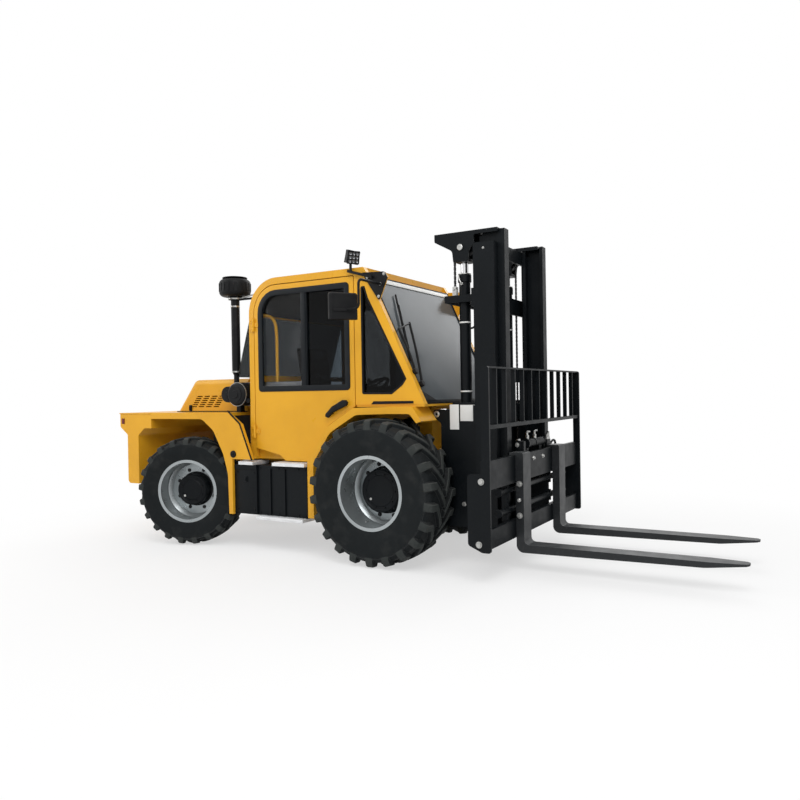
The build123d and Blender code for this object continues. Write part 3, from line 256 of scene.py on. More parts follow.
# Materials
yellow = painted("paint_yellow", (0.76, 0.385, 0.020), (0.67, 0.33, 0.017), (0.52, 0.36, 0.13),
                 0.32, 0.16, 0.22)
settle(yellow.shader, {"Coat Weight": 0.12, "Coat Roughness": 0.12})
black = painted("paint_black", (0.0050, 0.0066, 0.0080), (0.0034, 0.0046, 0.0058), (0.055, 0.056, 0.056),
                0.40, 0.16, 0.13)
silver = painted("rim_silver", (0.42, 0.45, 0.46), (0.33, 0.36, 0.37), (0.30, 0.29, 0.28), 0.30, 0.10)
silver.shader.inputs["Metallic"].default_value = 0.72
tyre_rubber = moulded("tyre_rubber", (0.0105, 0.0125, 0.0135), 0.70, 240, 0.22, 0.10, 0.10)
rubber = moulded("black_rubber", (0.006, 0.006, 0.007), 0.62, 300, 0.15, 0.04)
plastic = moulded("black_plastic", (0.0065, 0.0068, 0.0075), 0.46, 520, 0.18, 0.05)
vinyl = moulded("seat_vinyl", (0.012, 0.012, 0.013), 0.55, 340, 0.35, 0.05)
# Tread tops: lighter for wear and dust, and as a painted highlight
tyre_top_wear_and_highlight = moulded("tyre_top_wear_and_highlight", (0.034, 0.038, 0.037), 0.74, 260, 0.25, 0.22, 0.10)
# Sharp edges of the tread painted lighter: partly wear, partly a painted highlight
rubber_before_edge_tint = tyre_rubber.shader.inputs["Base Color"].links[0].from_socket
tyre_rubber.colour(tyre_rubber.mix(tyre_rubber.edges(0.012), rubber_before_edge_tint, (0.040, 0.043, 0.044)))
casting = moulded("dark_casting", (0.030, 0.030, 0.031), 0.60, 160, 0.30, 0.10)
chrome = worn_metal("rod_chrome", (0.78, 0.78, 0.79), (0.62, 0.62, 0.63), 0.16, 1.0, (1, 1, 0.06))
chain_steel = worn_metal("chain_steel", (0.10, 0.10, 0.105), (0.035, 0.034, 0.033), 0.42, 0.85)
aluminium = worn_metal("step_aluminium", (0.86, 0.87, 0.88), (0.66, 0.67, 0.68), 0.45, 0.35, (0.2, 1, 1))
zinc = worn_metal("zinc_plate", (0.60, 0.60, 0.58), (0.38, 0.38, 0.37), 0.36, 0.9)
fork_steel = painted("fork_black", (0.018, 0.020, 0.022), (0.012, 0.0135, 0.015), (0.14, 0.145, 0.15),
                     0.42, 0.30, 0.3)
side_glass = pane("side_glass", (0.050, 0.062, 0.075), 0.02,
                  open_tint=(0.86, 0.87, 0.88), open_part=rear_half)
cab_glass = pane("cab_glass", (0.024, 0.027, 0.029), 0.02,
                 open_tint=(0.82, 0.86, 0.85), open_part=corner_pane)
screen_glass = pane("screen_glass", (0.080, 0.092, 0.100), 0.16, clear=0.10, bend=1.45, gloss=0.10)
frame_black = moulded("frame_black", (0.0085, 0.0105, 0.0125), 0.40, 420, 0.10, 0.05)
panel_grey = moulded("panel_grey", (0.22, 0.225, 0.23), 0.55, 300, 0.15, 0.08)
plate_white = painted("plate_white", (0.78, 0.78, 0.76), (0.70, 0.70, 0.68), (0.5, 0.48, 0.44), 0.45, 0.12)
lens_red = painted("lens_red", (0.16, 0.008, 0.008), (0.11, 0.005, 0.005), (0.2, 0.12, 0.1), 0.18, 0.05)
lens_clear = worn_metal("lamp_reflector", (0.20, 0.205, 0.21), (0.10, 0.10, 0.105), 0.22, 0.9)
mirror_face = worn_metal("mirror_face", (0.86, 0.87, 0.88), (0.80, 0.81, 0.82), 0.10, 1.0)

# Material of each solid
node_materials = (
    (yellow, "frame counterweight rear_fenders front_fenders hood door_right door_left"),
    (yellow, "cab_base cab_frame cab_roof"),
    (black, "mast_outer mast_inner carriage fork_frame backrest lift_cylinders tilt_barrels side_tanks"),
    (black, "front_axle rear_axle knuckle_right knuckle_left"),
    (casting, "engine"),
    (chrome, "lift_rods tilt_rods"),
    (chain_steel, "lift_chains"),
    (aluminium, "steps"),
    (tyre_rubber, "front_tyre_right front_tyre_left rear_tyre_right rear_tyre_left"),
    (silver, "front_wheel_right front_wheel_left rear_wheel_right rear_wheel_left"),
    (screen_glass, "windscreen"),
    (cab_glass, "cab_glass"),
    (side_glass, "door_glass_right door_glass_left"),
    (plastic, "air_intake lamps mirrors controls"),
    (vinyl, "seat"),
    (fork_steel, "forks"),
)
for made, names in node_materials:
    for name in names.split():
        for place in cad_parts[name].material_slots:
            place.link = "OBJECT"
            place.material = made.material

# Studio: pale floor, soft lamps
sky_light = 0.62
backdrop_light = 1.0
shadow_reach = (2.6, 5.2)
shadow_veil = 0.55


def seen_directly(tree):
    """1 for rays from the eye, from gloss and through glass, 0 for the light that falls on things."""
    rays = tree.nodes.new("ShaderNodeLightPath")
    seen = rays.outputs["Is Camera Ray"]
    for name in ("Is Glossy Ray", "Is Transmission Ray"):
        most = tree.nodes.new("ShaderNodeMath")
        most.operation = "MAXIMUM"
        tree.links.new(seen, most.inputs[0])
        tree.links.new(rays.outputs[name], most.inputs[1])
        seen = most.outputs["Value"]
    return seen


floor_mesh = bpy.data.meshes.new("floor")
reach = 60.0
corners = [(-reach, -reach, 0), (reach, -reach, 0), (reach, reach, 0), (-reach, reach, 0)]
floor_mesh.from_pydata(corners, [], [(0, 1, 2, 3)])
floor = bpy.data.objects.new("floor", floor_mesh)
floor.location.z = cad_box[0][2] - 0.0005
floor_paint = Material("floor_paint", roughness=0.85, gloss=0.1)
floor_paint.colour(floor_paint.mix(floor_paint.noise(0.8, 3), (0.86, 0.86, 0.86), (0.89, 0.89, 0.89)))
white = floor_paint.node("ShaderNodeEmission")
settle(white, {"Color": (1.0, 1.0, 1.0, 1.0), "Strength": backdrop_light})
spot = floor_paint.node("ShaderNodeVectorMath", operation="LENGTH")
floor_paint.feed(spot.inputs[0], floor_paint.place)
veil = floor_paint.spread(spot.outputs["Value"], shadow_reach[0], shadow_reach[1], shadow_veil, 1.0)
seen = floor_paint.math("MULTIPLY", seen_directly(floor_paint.tree), veil)
shown = floor_paint.node("ShaderNodeMixShader")
floor_paint.feed(shown.inputs[0], seen)
floor_paint.feed(shown.inputs[1], floor_paint.shader.outputs["BSDF"])
floor_paint.feed(shown.inputs[2], white.outputs["Emission"])
surface = floor_paint.tree.nodes["Material Output"].inputs["Surface"]
floor_paint.feed(surface, shown.outputs["Shader"])
floor_mesh.materials.append(floor_paint.material)
bpy.context.collection.objects.link(floor)

world = bpy.data.worlds.new("studio")
world.use_nodes = True
sky = world.node_tree.nodes["Background"]
sky.inputs["Color"].default_value = (1.0, 1.0, 1.0, 1.0)
level = world.node_tree.nodes.new("ShaderNodeMapRange")
settle(level, {"To Min": sky_light, "To Max": backdrop_light})
world.node_tree.links.new(seen_directly(world.node_tree), level.inputs["Value"])
world.node_tree.links.new(level.outputs["Result"], sky.inputs["Strength"])
scene.world = world

# Place of each lamp, its watts and its size in metres
lamps = (
    ("key_lamp", (3.5, -6.0, 7.5), 400, 5.0),
    ("fill_lamp", (-6.5, -4.0, 5.0), 150, 5.0),
    ("rim_lamp", (0.0, 7.0, 6.5), 220, 5.0),
)
for name, place, watts, width in lamps:
    lamp_data = bpy.data.lights.new(name, "AREA")
    lamp_data.energy = watts
    lamp_data.size = width
    lamp = bpy.data.objects.new(name, lamp_data)
    lamp.location = place
    lamp.rotation_euler = (Vector((0, 0, 1.2)) - Vector(place)).to_track_quat("-Z", "Y").to_euler()
    bpy.context.collection.objects.link(lamp)


# Solids in millimetres from the front axle, gathered into one piece
outwards = (0, -1, 0)
upwards = (0, 0, 1)


def shift(*place):
    return Matrix.Translation(place)


def turn(degrees, axis):
    return Matrix.Rotation(math.radians(degrees), 4, axis)


def face_out(mesh):
    bmesh.ops.recalc_face_normals(mesh, faces=mesh.faces[:])


def circle(sides):
    return [2 * math.pi * step / sides for step in range(sides)]


class Shape:
    """Gathers bevelled solids and makes one piece of them."""

    def __init__(self):
        self.mesh = bmesh.new()

    def take(self, part, place=None):
        """Adds the mesh part, moved by place."""
        if place is not None:
            bmesh.ops.transform(part, matrix=place, verts=part.verts)
        held = bpy.data.meshes.new("part")
        part.to_mesh(held)
        part.free()
        self.mesh.from_mesh(held)
        bpy.data.meshes.remove(held)

    def box(self, x, y, z, bevel=3.0, place=None):
        part = bmesh.new()
        bmesh.ops.create_cube(part, size=1.0)
        size = Matrix.Diagonal((x[1] - x[0], y[1] - y[0], z[1] - z[0], 1))
        middle = shift((x[0] + x[1]) / 2, (y[0] + y[1]) / 2, (z[0] + z[1]) / 2)
        bmesh.ops.transform(part, matrix=middle @ size, verts=part.verts)
        bmesh.ops.bevel(part, geom=part.edges[:], offset=bevel, segments=2, profile=0.6, affect="EDGES")
        self.take(part, place)

    def plate(self, outline, y, bevel=2.0):
        """A side view outline of (x, z) points carried across from y[0] to y[1]."""
        part = bmesh.new()
        near = [part.verts.new((px, y[0], pz)) for px, pz in outline]
        far = [part.verts.new((px, y[1], pz)) for px, pz in outline]
        part.faces.new(near)
        part.faces.new(far[::-1])
        count = len(outline)
        for index in range(count):
            after = (index + 1) % count
            part.faces.new((near[after], near[index], far[index], far[after]))
        face_out(part)
        rims = [edge for edge in part.edges if edge.calc_face_angle(0) > 0.6]
        bmesh.ops.bevel(part, geom=rims, offset=bevel, segments=2, profile=0.6, affect="EDGES")
        self.take(part)

    def lathe(self, profile, place, sides=48):
        """(along, radius) points turned about the local Z axis."""
        part = bmesh.new()
        rings = []
        for along, radius in profile:
            if radius <= 0:
                rings.append([part.verts.new((0, 0, along))])
                continue
            spots = [(radius * math.cos(a), radius * math.sin(a), along) for a in circle(sides)]
            rings.append([part.verts.new(spot) for spot in spots])
        for low, high in zip(rings, rings[1:]):
            for step in range(sides):
                after = (step + 1) % sides
                if len(low) == 1 and len(high) > 1:
                    part.faces.new((low[0], high[after], high[step]))
                elif len(high) == 1 and len(low) > 1:
                    part.faces.new((low[step], low[after], high[0]))
                elif len(low) > 1:
                    part.faces.new((low[step], low[after], high[after], high[step]))
        face_out(part)
        self.take(part, place)

    def prism(self, outline, y, place=None):
        """A plain side view outline carried across from y[0] to y[1], without bevels."""
        place = place or Matrix()
        near = [self.mesh.verts.new(place @ Vector((px, y[0], pz))) for px, pz in outline]
        far = [self.mesh.verts.new(place @ Vector((px, y[1], pz))) for px, pz in outline]
        self.mesh.faces.new(near)
        self.mesh.faces.new(far[::-1])
        for index in range(len(outline)):
            self.mesh.faces.new((near[index], near[index - 1], far[index - 1], far[index]))

    def ring(self, outer, inner, y, bevel=2.0):
        """A flat frame between two outlines of as many (x, z) points."""
        part = bmesh.new()
        loops = []
        for outline, depth in ((outer, y[0]), (outer, y[1]), (inner, y[1]), (inner, y[0])):
            loops.append([part.verts.new((px, depth, pz)) for px, pz in outline])
        for near, far in zip(loops, loops[1:] + loops[:1]):
            for index in range(len(outer)):
                part.faces.new((near[index], near[index - 1], far[index - 1], far[index]))
        face_out(part)
        rims = [edge for edge in part.edges if edge.calc_face_angle(0) > 0.9]
        bmesh.ops.bevel(part, geom=rims, offset=bevel, segments=2, profile=0.6, affect="EDGES")
        self.take(part)

    def tube(self, points, radius, sides=14, steps=6, smooth=True):
        """A round tube along a smooth line through the points."""
        line = smooth_line(points, steps) if smooth else [Vector(point) for point in points]
        part = bmesh.new()
        rings = []
        across = Vector((0.31, 0.83, 0.47))
        for index, middle in enumerate(line):
            along = (line[min(index + 1, len(line) - 1)] - line[max(index - 1, 0)]).normalized()
            across = (across - along * across.dot(along)).normalized()
            other = along.cross(across)
            arms = [across * math.cos(a) + other * math.sin(a) for a in circle(sides)]
            rings.append([part.verts.new(middle + arm * radius) for arm in arms])
        for near, far in zip(rings, rings[1:]):
            for step in range(sides):
                part.faces.new((near[step], near[step - 1], far[step - 1], far[step]))
        part.faces.new(rings[0])
        part.faces.new(rings[-1][::-1])
        face_out(part)
        self.take(part)

    def move(self, place):
        bmesh.ops.transform(self.mesh, matrix=place, verts=self.mesh.verts)

    def to_left(self):
        """Moves what is gathered to the other side of the machine."""
        self.move(Matrix.Diagonal((1, -1, 1, 1)))
        bmesh.ops.reverse_faces(self.mesh, faces=self.mesh.faces[:])

    def both_sides(self):
        """Adds the same on the other side of the machine."""
        held = bpy.data.meshes.new("part")
        self.mesh.to_mesh(held)
        self.to_left()
        self.mesh.from_mesh(held)
        bpy.data.meshes.remove(held)
        return self

    def pair(self, *words):
        """Makes the piece with its mirror image on the left."""
        return self.both_sides().done(*words)

    def rod(self, start, end, radius, bevel=1.5, sides=24):
        """A round bar with bevelled ends."""
        start = Vector(start)
        end = Vector(end)
        length = (end - start).length
        near = ((0, 0), (0, radius - bevel), (bevel, radius))
        far = ((length - bevel, radius), (length, radius - bevel), (length, 0))
        self.lathe(near + far, stand(start, end - start), sides)

    def band(self, radius, thick, width, place, sides=48):
        """A flat ring from radius outwards, standing on place."""
        outer = radius + thick
        self.lathe(((0, radius), (0, outer), (width, outer), (width, radius)), place, sides)

    def bolt(self, place, radius, direction=outwards):
        """A hexagon head on a washer, its seat at place."""
        rise = radius * 0.2
        head = radius * 0.75
        seat = stand(place, direction)
        self.lathe(((0, 0), (0, radius * 1.35), (rise, radius * 1.3), (rise, 0)), seat, 24)
        chamfer = ((rise + head * 0.8, radius), (rise + head, radius * 0.86), (rise + head, 0))
        self.lathe(((rise, 0), (rise, radius)) + chamfer, seat, 6)

    def done(self, name, body, slot, material, smooth=32):
        """Makes the piece in metres, rounds it below the angle smooth and lets it ride on its body."""
        self.move(Matrix.Diagonal((0.001, 0.001, 0.001, 1)) @ shift(axle_shift, 0, 0))
        mesh = bpy.data.meshes.new(name)
        self.mesh.to_mesh(mesh)
        self.mesh.free()
        mesh.shade_smooth()
        mesh.set_sharp_from_angle(angle=math.radians(smooth))
        mesh.materials.append(material.material)
        made = bpy.data.objects.new(name, mesh)
        bpy.context.collection.objects.link(made)
        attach(made, body)
        return made


def stand(place, direction):
    """The matrix that puts a local Z axis along direction at place."""
    return Matrix.Translation(place) @ Vector(direction).to_track_quat("Z", "Y").to_matrix().to_4x4()


def smooth_line(points, steps):
    """Points on a smooth line through the given ones, steps to each span."""
    line = []
    count = len(points)
    for index in range(count - 1):
        before = Vector(points[max(index - 1, 0)])
        start = Vector(points[index])
        end = Vector(points[index + 1])
        after = Vector(points[min(index + 2, count - 1)])
        for step in range(steps):
            t = step / steps
            square = (2 * before - 5 * start + 4 * end - after) * t ** 2
            cube = (3 * start - before - 3 * end + after) * t ** 3
            line.append(0.5 * (2 * start + (end - before) * t + square + cube))
    line.append(Vector(points[-1]))
    return line


def rounded(corners, inset=0.0, steps=6):
    """An outline of (x, z) points through (x, z, radius) corners, moved inwards by inset."""
    count = len(corners)
    flat = [Vector(corner[:2]) for corner in corners]
    area = sum(a.x * b.y - b.x * a.y for a, b in zip(flat, flat[1:] + flat[:1]))
    hand = 1 if area > 0 else -1
    outline = []
    for index in range(count):
        before = (flat[index] - flat[index - 1]).normalized()
        after = (flat[(index + 1) % count] - flat[index]).normalized()
        bend = math.atan2(before.x * after.y - before.y * after.x, before.dot(after))
        inward = Vector((-before.y, before.x)) * hand
        slip = inset * math.tan(bend / 2) * hand
        point = flat[index] + inward * inset - before * slip
        side = 1 if bend > 0 else -1
        radius = max(corners[index][2] - inset * hand * side, 2.0)
        start = point - before * radius * math.tan(abs(bend) / 2)
        centre = start + Vector((-before.y, before.x)) * side * radius
        for step in range(steps + 1):
            outline.append(centre + Matrix.Rotation(bend * step / steps, 2) @ (start - centre))
    return [(point.x, point.y) for point in outline]


# Wheels, made about the Y axis with the outer face towards -Y
wheelbase = 2260.0
kingpin_y = 640.0
rear_offset = 210.0
steer_rest = 20.0
front_wheel_y = 806.0
wheel_sizes = "radius half rim bead lug lugs lug_half inset face hub nuts nut_ring nut".split()
wheels = {
    "front": (625.0, 222.5, 326.0, 190.0, 34.0, 22, 29.0, 90.0, -20.0, 192.0, 10, 230.0, 15.0),
    "rear": (530.0, 170.0, 316.0, 140.0, 27.0, 21, 24.0, 70.0, -40.0, 158.0, 8, 200.0, 14.0),
}
wheels = {axle: dict(zip(wheel_sizes, sizes)) for axle, sizes in wheels.items()}
carcass_sides = 132
lug_skew = 0.27
lug_bend = 0.66


def wheel_place(axle, side):
    half_turn = 180 if side == "left" else 0
    sign = 1 if side == "left" else -1
    radius = wheels[axle]["radius"]
    if axle == "front":
        return shift(0, sign * front_wheel_y, radius) @ turn(half_turn, "Z")
    kingpin = shift(-wheelbase, sign * kingpin_y, radius) @ turn(half_turn + steer_rest, "Z")
    return kingpin @ shift(0, -rear_offset, 0)


def carcass_line(size):
    """Half of the tyre's section as (y, radius) from the bead to the middle of the crown."""
    half, rim, bead = size["half"], size["rim"], size["bead"]
    floor_radius = size["radius"] - size["lug"]
    wall = floor_radius - rim
    groove = rim + wall * 0.80
    return [
        (-bead + 16, rim - 16), (-bead - 2, rim - 12), (-bead - 7, rim - 4), (-half + 13, rim + wall * 0.22),
        (-half + 5, rim + wall * 0.42), (-half + 3, rim + wall * 0.62), (-half + 5, groove - 6),
        (-half + 10, groove - 2), (-half + 10, groove + 3), (-half + 7, groove + 8),
        (-half + 20, floor_radius - 32), (-half + 44, floor_radius - 12), (-half * 0.5, floor_radius - 3),
        (0, floor_radius),
    ]


def lug_stations(size):
    """Base and top of a lug as (y, radius), how far along its bend it is, and its half width."""
    half, radius, lug, width = size["half"], size["radius"], size["lug"], size["lug_half"]
    stations = []
    crown_steps = 7
    for step in range(crown_steps):
        along = step / (crown_steps - 1)
        y = 4 + (half - 34) * along
        drop = 8 * along ** 2
        bend = max(0.0, 1 - along / lug_bend)
        top = radius - drop
        stations.append(((y, top - lug - 6), (y, top), bend, width * (0.86 + 0.2 * along)))
    stations.append(((half - 34, radius - lug - 30), (half - 10, radius - 20), 0.0, width * 1.08))
    stations.append(((half - 26, radius - lug - 48), (half - 2, radius - 48), 0.0, width * 1.10))
    stations.append(((half - 16, radius - lug - 66), (half - 6, radius - lug - 60), 0.0, width * 1.14))
    return stations


def on_wheel(angle, y, radius):
    return (radius * math.sin(angle), y, radius * math.cos(angle))


def add_lug(part, size, start_angle, sign, direction):
    """One bar of the tread on the half of sign, its top in the second material, lighter for wear and dust and
    as a painted highlight.
    """
    rows = []
    for base, top, bend, width in lug_stations(size):
        middle = start_angle + direction * lug_skew * bend
        low = width + 10
        shoulder = (top[0] + (base[0] - top[0]) * 0.16, top[1] + (base[1] - top[1]) * 0.16)
        row = []
        for point, side_width in ((base, -low), (shoulder, -width - 1), (top, -width + 5), (top, width - 5),
                                  (shoulder, width + 1), (base, low)):
            row.append(part.verts.new(on_wheel(middle + side_width / point[1], sign * point[0], point[1])))
        rows.append(row)
    for near, far in zip(rows, rows[1:]):
        for index in range(len(near) - 1):
            face = part.faces.new((near[index], near[index + 1], far[index + 1], far[index]))
            face.material_index = 1 if 0 < index < 4 else 0
    part.faces.new(rows[0][::-1])
    part.faces.new(rows[-1])


def make_tyre(axle, side):
    size = wheels[axle]
    direction = 1 if side == "right" else -1
    outer = smooth_line(carcass_line(size), 4)
    profile = [(y, radius) for y, radius in outer] + [(-y, radius) for y, radius in outer[-2::-1]]
    tyre = Shape()
    tyre.lathe(profile, turn(-90, "X"), carcass_sides)
    lugs = bmesh.new()
    pitch = 2 * math.pi / size["lugs"]
    for count in range(size["lugs"]):
        add_lug(lugs, size, count * pitch, -1, direction)
        add_lug(lugs, size, (count + 0.5) * pitch, 1, direction)
    face_out(lugs)
    tyre.take(lugs)
    tyre.move(wheel_place(axle, side))
    made = tyre.done(f"{axle}_lug_tyre_{side}", f"wheel_{axle}_{side}", "tyre_rubber", tyre_rubber, 28)
    made.data.materials.append(tyre_top_wear_and_highlight.material)
    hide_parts(f"{axle}_tyre_{side}")


def make_hub(axle, side):
    """Black hub cover with its ring of bolts, the wheel nuts, the oil plug and the valve."""
    size = wheels[axle]
    hub = size["hub"]
    face = -size["face"]
    disc = -size["inset"]
    skin = 0.8
    cover = Shape()
    cover.lathe((
        (face, 0), (face, hub - 62), (face - 4, hub - 56), (face - 4, hub - 34), (face, hub - 28),
        (face - 2, hub - 14), (face - 12, hub - 4), (disc + 26, hub), (disc + 14, hub + 3),
        (disc + 12, hub + 14), (disc + skin, hub + 15),
    ), turn(90, "X"), 64)
    nuts = Shape()
    for count in range(size["nuts"]):
        angle = 2 * math.pi * (count + 0.5) / size["nuts"]
        cover.bolt(on_wheel(angle, 4 - face, hub - 45), size["nut"] * 0.5)
        nuts.bolt(on_wheel(angle, -disc - skin, size["nut_ring"]), size["nut"])
    plugs = Shape()
    plug = on_wheel(math.radians(232), 0.4 - face, hub * 0.60)
    plugs.lathe(((0, 0), (0, 12), (7, 11), (9, 6), (9, 0)), stand(plug, outwards), 20)
    valve = Vector(on_wheel(math.radians(200), -size["bead"] * 0.3, size["rim"] - 52))
    plugs.rod(valve, valve + Vector((0, -46, 0)), 5)
    for shape, name, slot, material in (
        (cover, "hub_cover", "mast_black", black),
        (nuts, "wheel_nuts", "mast_black", casting),
        (plugs, "hub_plug", "bright_steel", zinc),
    ):
        shape.move(wheel_place(axle, side))
        shape.done(f"{axle}_{name}_{side}", f"wheel_{axle}_{side}", slot, material)


for axle in ("front", "rear"):
    for side in ("right", "left"):
        make_tyre(axle, side)
        make_hub(axle, side)

# Doors: window rubbers with their dividers, lever handles and hinge bolts
door_window = [(-1338, 1500, 30), (-307, 1500, 30), (-307, 2438, 30), (-1338, 2438, 205)]
handle = [(-519, 1250), (-549, 1262), (-546, 1286), (-475, 1352), (-365, 1408), (-330, 1408), (-312, 1388),
          (-320, 1360), (-476, 1296)]
hinge_heights = (1120, 2130)
for side in ("right", "left"):
    rubbers = Shape()
    rubbers.ring(rounded(door_window, -6), rounded(door_window, 46), (-805, -799.4))
    rubbers.ring(rounded(door_window, 0.6), rounded(door_window, 44), (-800, -776.6))
    rubbers.box((-836, -784), (-803, -776.6), (1540, 2396))
    rubbers.box((-786, -772), (-797, -776.6), (1540, 2396))
    levers = Shape()
    levers.plate(handle, (-846, -818), 5)
    for x, z in ((-500, 1296), (-360, 1382)):
        levers.rod((x, -820, z), (x, -799.6, z), 15)
    post_bolts = Shape()
    leaf_bolts = Shape()
    for z in hinge_heights:
        leaf_bolts.bolt((-1358, -808.8, z), 6)
        for rise in (-42, 42):
            post_bolts.bolt((-1426, -808.8, z + rise), 6)
    body = f"door_{side[0]}"
    for shape, name, rides, slot, material in (
        (rubbers, "window_rubber", body, "black_plastic", frame_black),
        (levers, "door_handle", body, "black_plastic", plastic),
        (post_bolts, "hinge_bolts", "chassis", "body_yellow", yellow),
        (leaf_bolts, "door_bolts", body, "body_yellow", yellow),
    ):
        if side == "left":
            shape.to_left()
        shape.done(f"{name}_{side}", rides, slot, material)

# Quarter window rubbers, the slot of the cowl and the seals along the hood
quarter = [(-175, 2390, 15), (-175, 1460, 15), (120, 1456, 15), (225, 1530, 8), (262, 1580, 8),
           (-108, 2290, 8), (-140, 2390, 8)]
trim = Shape()
trim.ring(rounded(quarter, -4), rounded(quarter, 13), (-803, -799.4))
trim.ring(rounded(quarter, 0.6), rounded(quarter, 12), (-800, -778.6))
trim.plate([(-88, 1368), (-62, 1394), (330, 1394), (330, 1372)], (-803.5, -799.5), 1.2)
trim.box((-2650, -1672), (-609, -600.5), (1293, 1309), 3)
trim.pair("body_seals", "chassis", "black_plastic", rubber)

# Windscreen: a bright frame strip along the top, painted white for its reflection, rubber round it and in its
# lower corners, the twin arm wiper
screen_top = Vector((-110, 0, 2488))
screen_down = Vector((530, 0, -1124)).normalized()
screen_out = Vector((-screen_down.z, 0, screen_down.x))
screen_turn = Matrix((screen_down, (0, 1, 0), screen_out)).transposed().to_4x4()
screen_place = shift(*screen_top) @ screen_turn
screen_length = 1242.0
screen_half = 744.0


def on_screen(down, y, out):
    return screen_place @ Vector((down, y, out))


across = (-screen_half, screen_half)
# Frame strip on the glass along the top, its white a painted reflection
header = Shape()
header.box((14, 58), across, (0.6, 9), 2, screen_place)
header.done("windscreen_header_painted_reflection", "chassis", "bright_steel", plate_white)
surround = Shape()
surround.box((2, 14), across, (0.6, 11), 2, screen_place)
surround.box((screen_length - 34, screen_length - 4), across, (0.6, 10), 2, screen_place)
for sign in (-1, 1):
    y = sorted((sign * screen_half, sign * (screen_half - 18)))
    surround.box((2, screen_length - 4), y, (0.6, 10), 2, screen_place)
foot = screen_length - 30
corner = ((foot - 90, screen_half), (foot, screen_half), (foot, screen_half - 190))
for sign in (-1, 1):
    outline = [(down, sign * y) for down, y in corner]
    surround.prism(outline, (10.5, 14), screen_place @ turn(90, "X"))
face_out(surround.mesh)
surround.done("windscreen_rubber", "chassis", "black_plastic", rubber)

wiper = Shape()
blade_ends = ((169, -464), (841, -716))
yoke = ((290, -510), (505, -592), (720, -670))
link_bar = ((547, -716), (505, -592), (468, -470))
arms = (((547, -716), (948, -738)), ((468, -470), (1064, -716)))
for line, out, radius in ((blade_ends, 16, 9), (yoke, 26, 5), (link_bar, 34, 8)):
    wiper.tube([on_screen(down, y, out) for down, y in line], radius, smooth=False)
for spot in yoke:
    wiper.rod(on_screen(*spot, 12), on_screen(*spot, 32), 8)
for top, pivot in arms:
    middle = ((top[0] + pivot[0]) / 2, (top[1] + pivot[1]) / 2)
    wiper.tube([on_screen(*top, 34), on_screen(*middle, 40), on_screen(*pivot, 30)], 11)
    wiper.rod(on_screen(*top, 26), on_screen(*top, 44), 11)
    wiper.rod(on_screen(*pivot, 1), on_screen(*pivot, 44), 26)
wiper.done("wiper", "chassis", "black_plastic", plastic)

# Mirror heads: glass in a lip behind, a grip slot in front, and the bolts of the bracket plates
mirror_places = [shift(-128, sign * 1150, 2185) @ turn(35 * sign, "Z") for sign in (-1, 1)]
glass = Shape()
lips = Shape()
for place in mirror_places:
    glass.box((-33.5, -30.3), (-104, 104), (-90, 90), 1.2, place)
    for z in ((-104, -92), (92, 104)):
        lips.box((-36, -29), (-112, 112), z, 2, place)
    for y in ((-116, -105), (105, 116)):
        lips.box((-36, -29), y, (-104, 104), 2, place)
    lips.box((29, 37), (-96, 96), (-48, -24), 3, place)
    lips.box((28, 41), (-30, 30), (-46, -26), 4, place)
glass.done("mirror_glass", "chassis", "bright_steel", mirror_face)
lips.done("mirror_lips", "chassis", "black_plastic", plastic)
bracket_bolts = Shape()
for x, z in ((68, 2478), (12, 2290), (-100, 2462), (30, 2395)):
    bracket_bolts.bolt((x, -811.9, z), 10)
bracket_bolts.pair("bracket_bolts", "chassis", "bright_steel", zinc)

# Work lamp: housing ribs, bezel and lens cells
lamp_place = shift(-248, -818, 2650) @ turn(-35, "Z") @ turn(14, "Y")
cell_pitch = 32
cell_profile = ((0, 0), (0, 6), (3, 13), (4, 13.5), (4.6, 13), (0.6, 7.5), (0.6, 4), (3, 3), (3, 0))
lamp_case = Shape()
lamp_cells = Shape()
for level in range(6):
    z = -48 + level * 19
    lamp_case.box((-42, -28), (-46, 46), (z, z + 7), 1.5, lamp_place)
for z in ((-56.5, -49), (49, 56.5)):
    lamp_case.box((28, 36), (-56.5, 56.5), z, 2, lamp_place)
for y in ((-56.5, -49), (49, 56.5)):
    lamp_case.box((28, 36), y, (-56.5, 56.5), 2, lamp_place)
lamp_case.box((28.5, 31), (-50, 50), (-50, 50), 0.8, lamp_place)
for row in (-1, 0, 1):
    for column in (-1, 0, 1):
        cell = lamp_place @ stand((31.1, column * cell_pitch, row * cell_pitch), (1, 0, 0))
        lamp_cells.lathe(cell_profile, cell, 20)
lamp_case.done("lamp_case", "chassis", "black_plastic", plastic)
lamp_cells.done("lamp_cells", "chassis", "bright_steel", lens_clear)

# Tail: lip along the top, red lenses behind and at the sides
tail = Shape()
tail.box((-3194, -2716), (-906, 906), (1289, 1299), 3)
tail.done("tail_lip", "chassis", "body_yellow", yellow)
lenses = Shape()
for y in (-835, 835):
    lenses.box((-3203, -3196.6), (y - 41, y + 41), (1194, 1246), 2.5)
    lenses.lathe(((0, 0), (0, 17), (2.5, 15), (3.5, 0)), stand((-3202.8, y, 1220), (-1, 0, 0)), 24)
for sign in (-1, 1):
    y = sorted((sign * 899.5, sign * 907))
    lenses.box((-3158, -3118), y, (1184, 1240), 2.5)
lenses.done("tail_lenses", "chassis", "tinted_glass", lens_red)

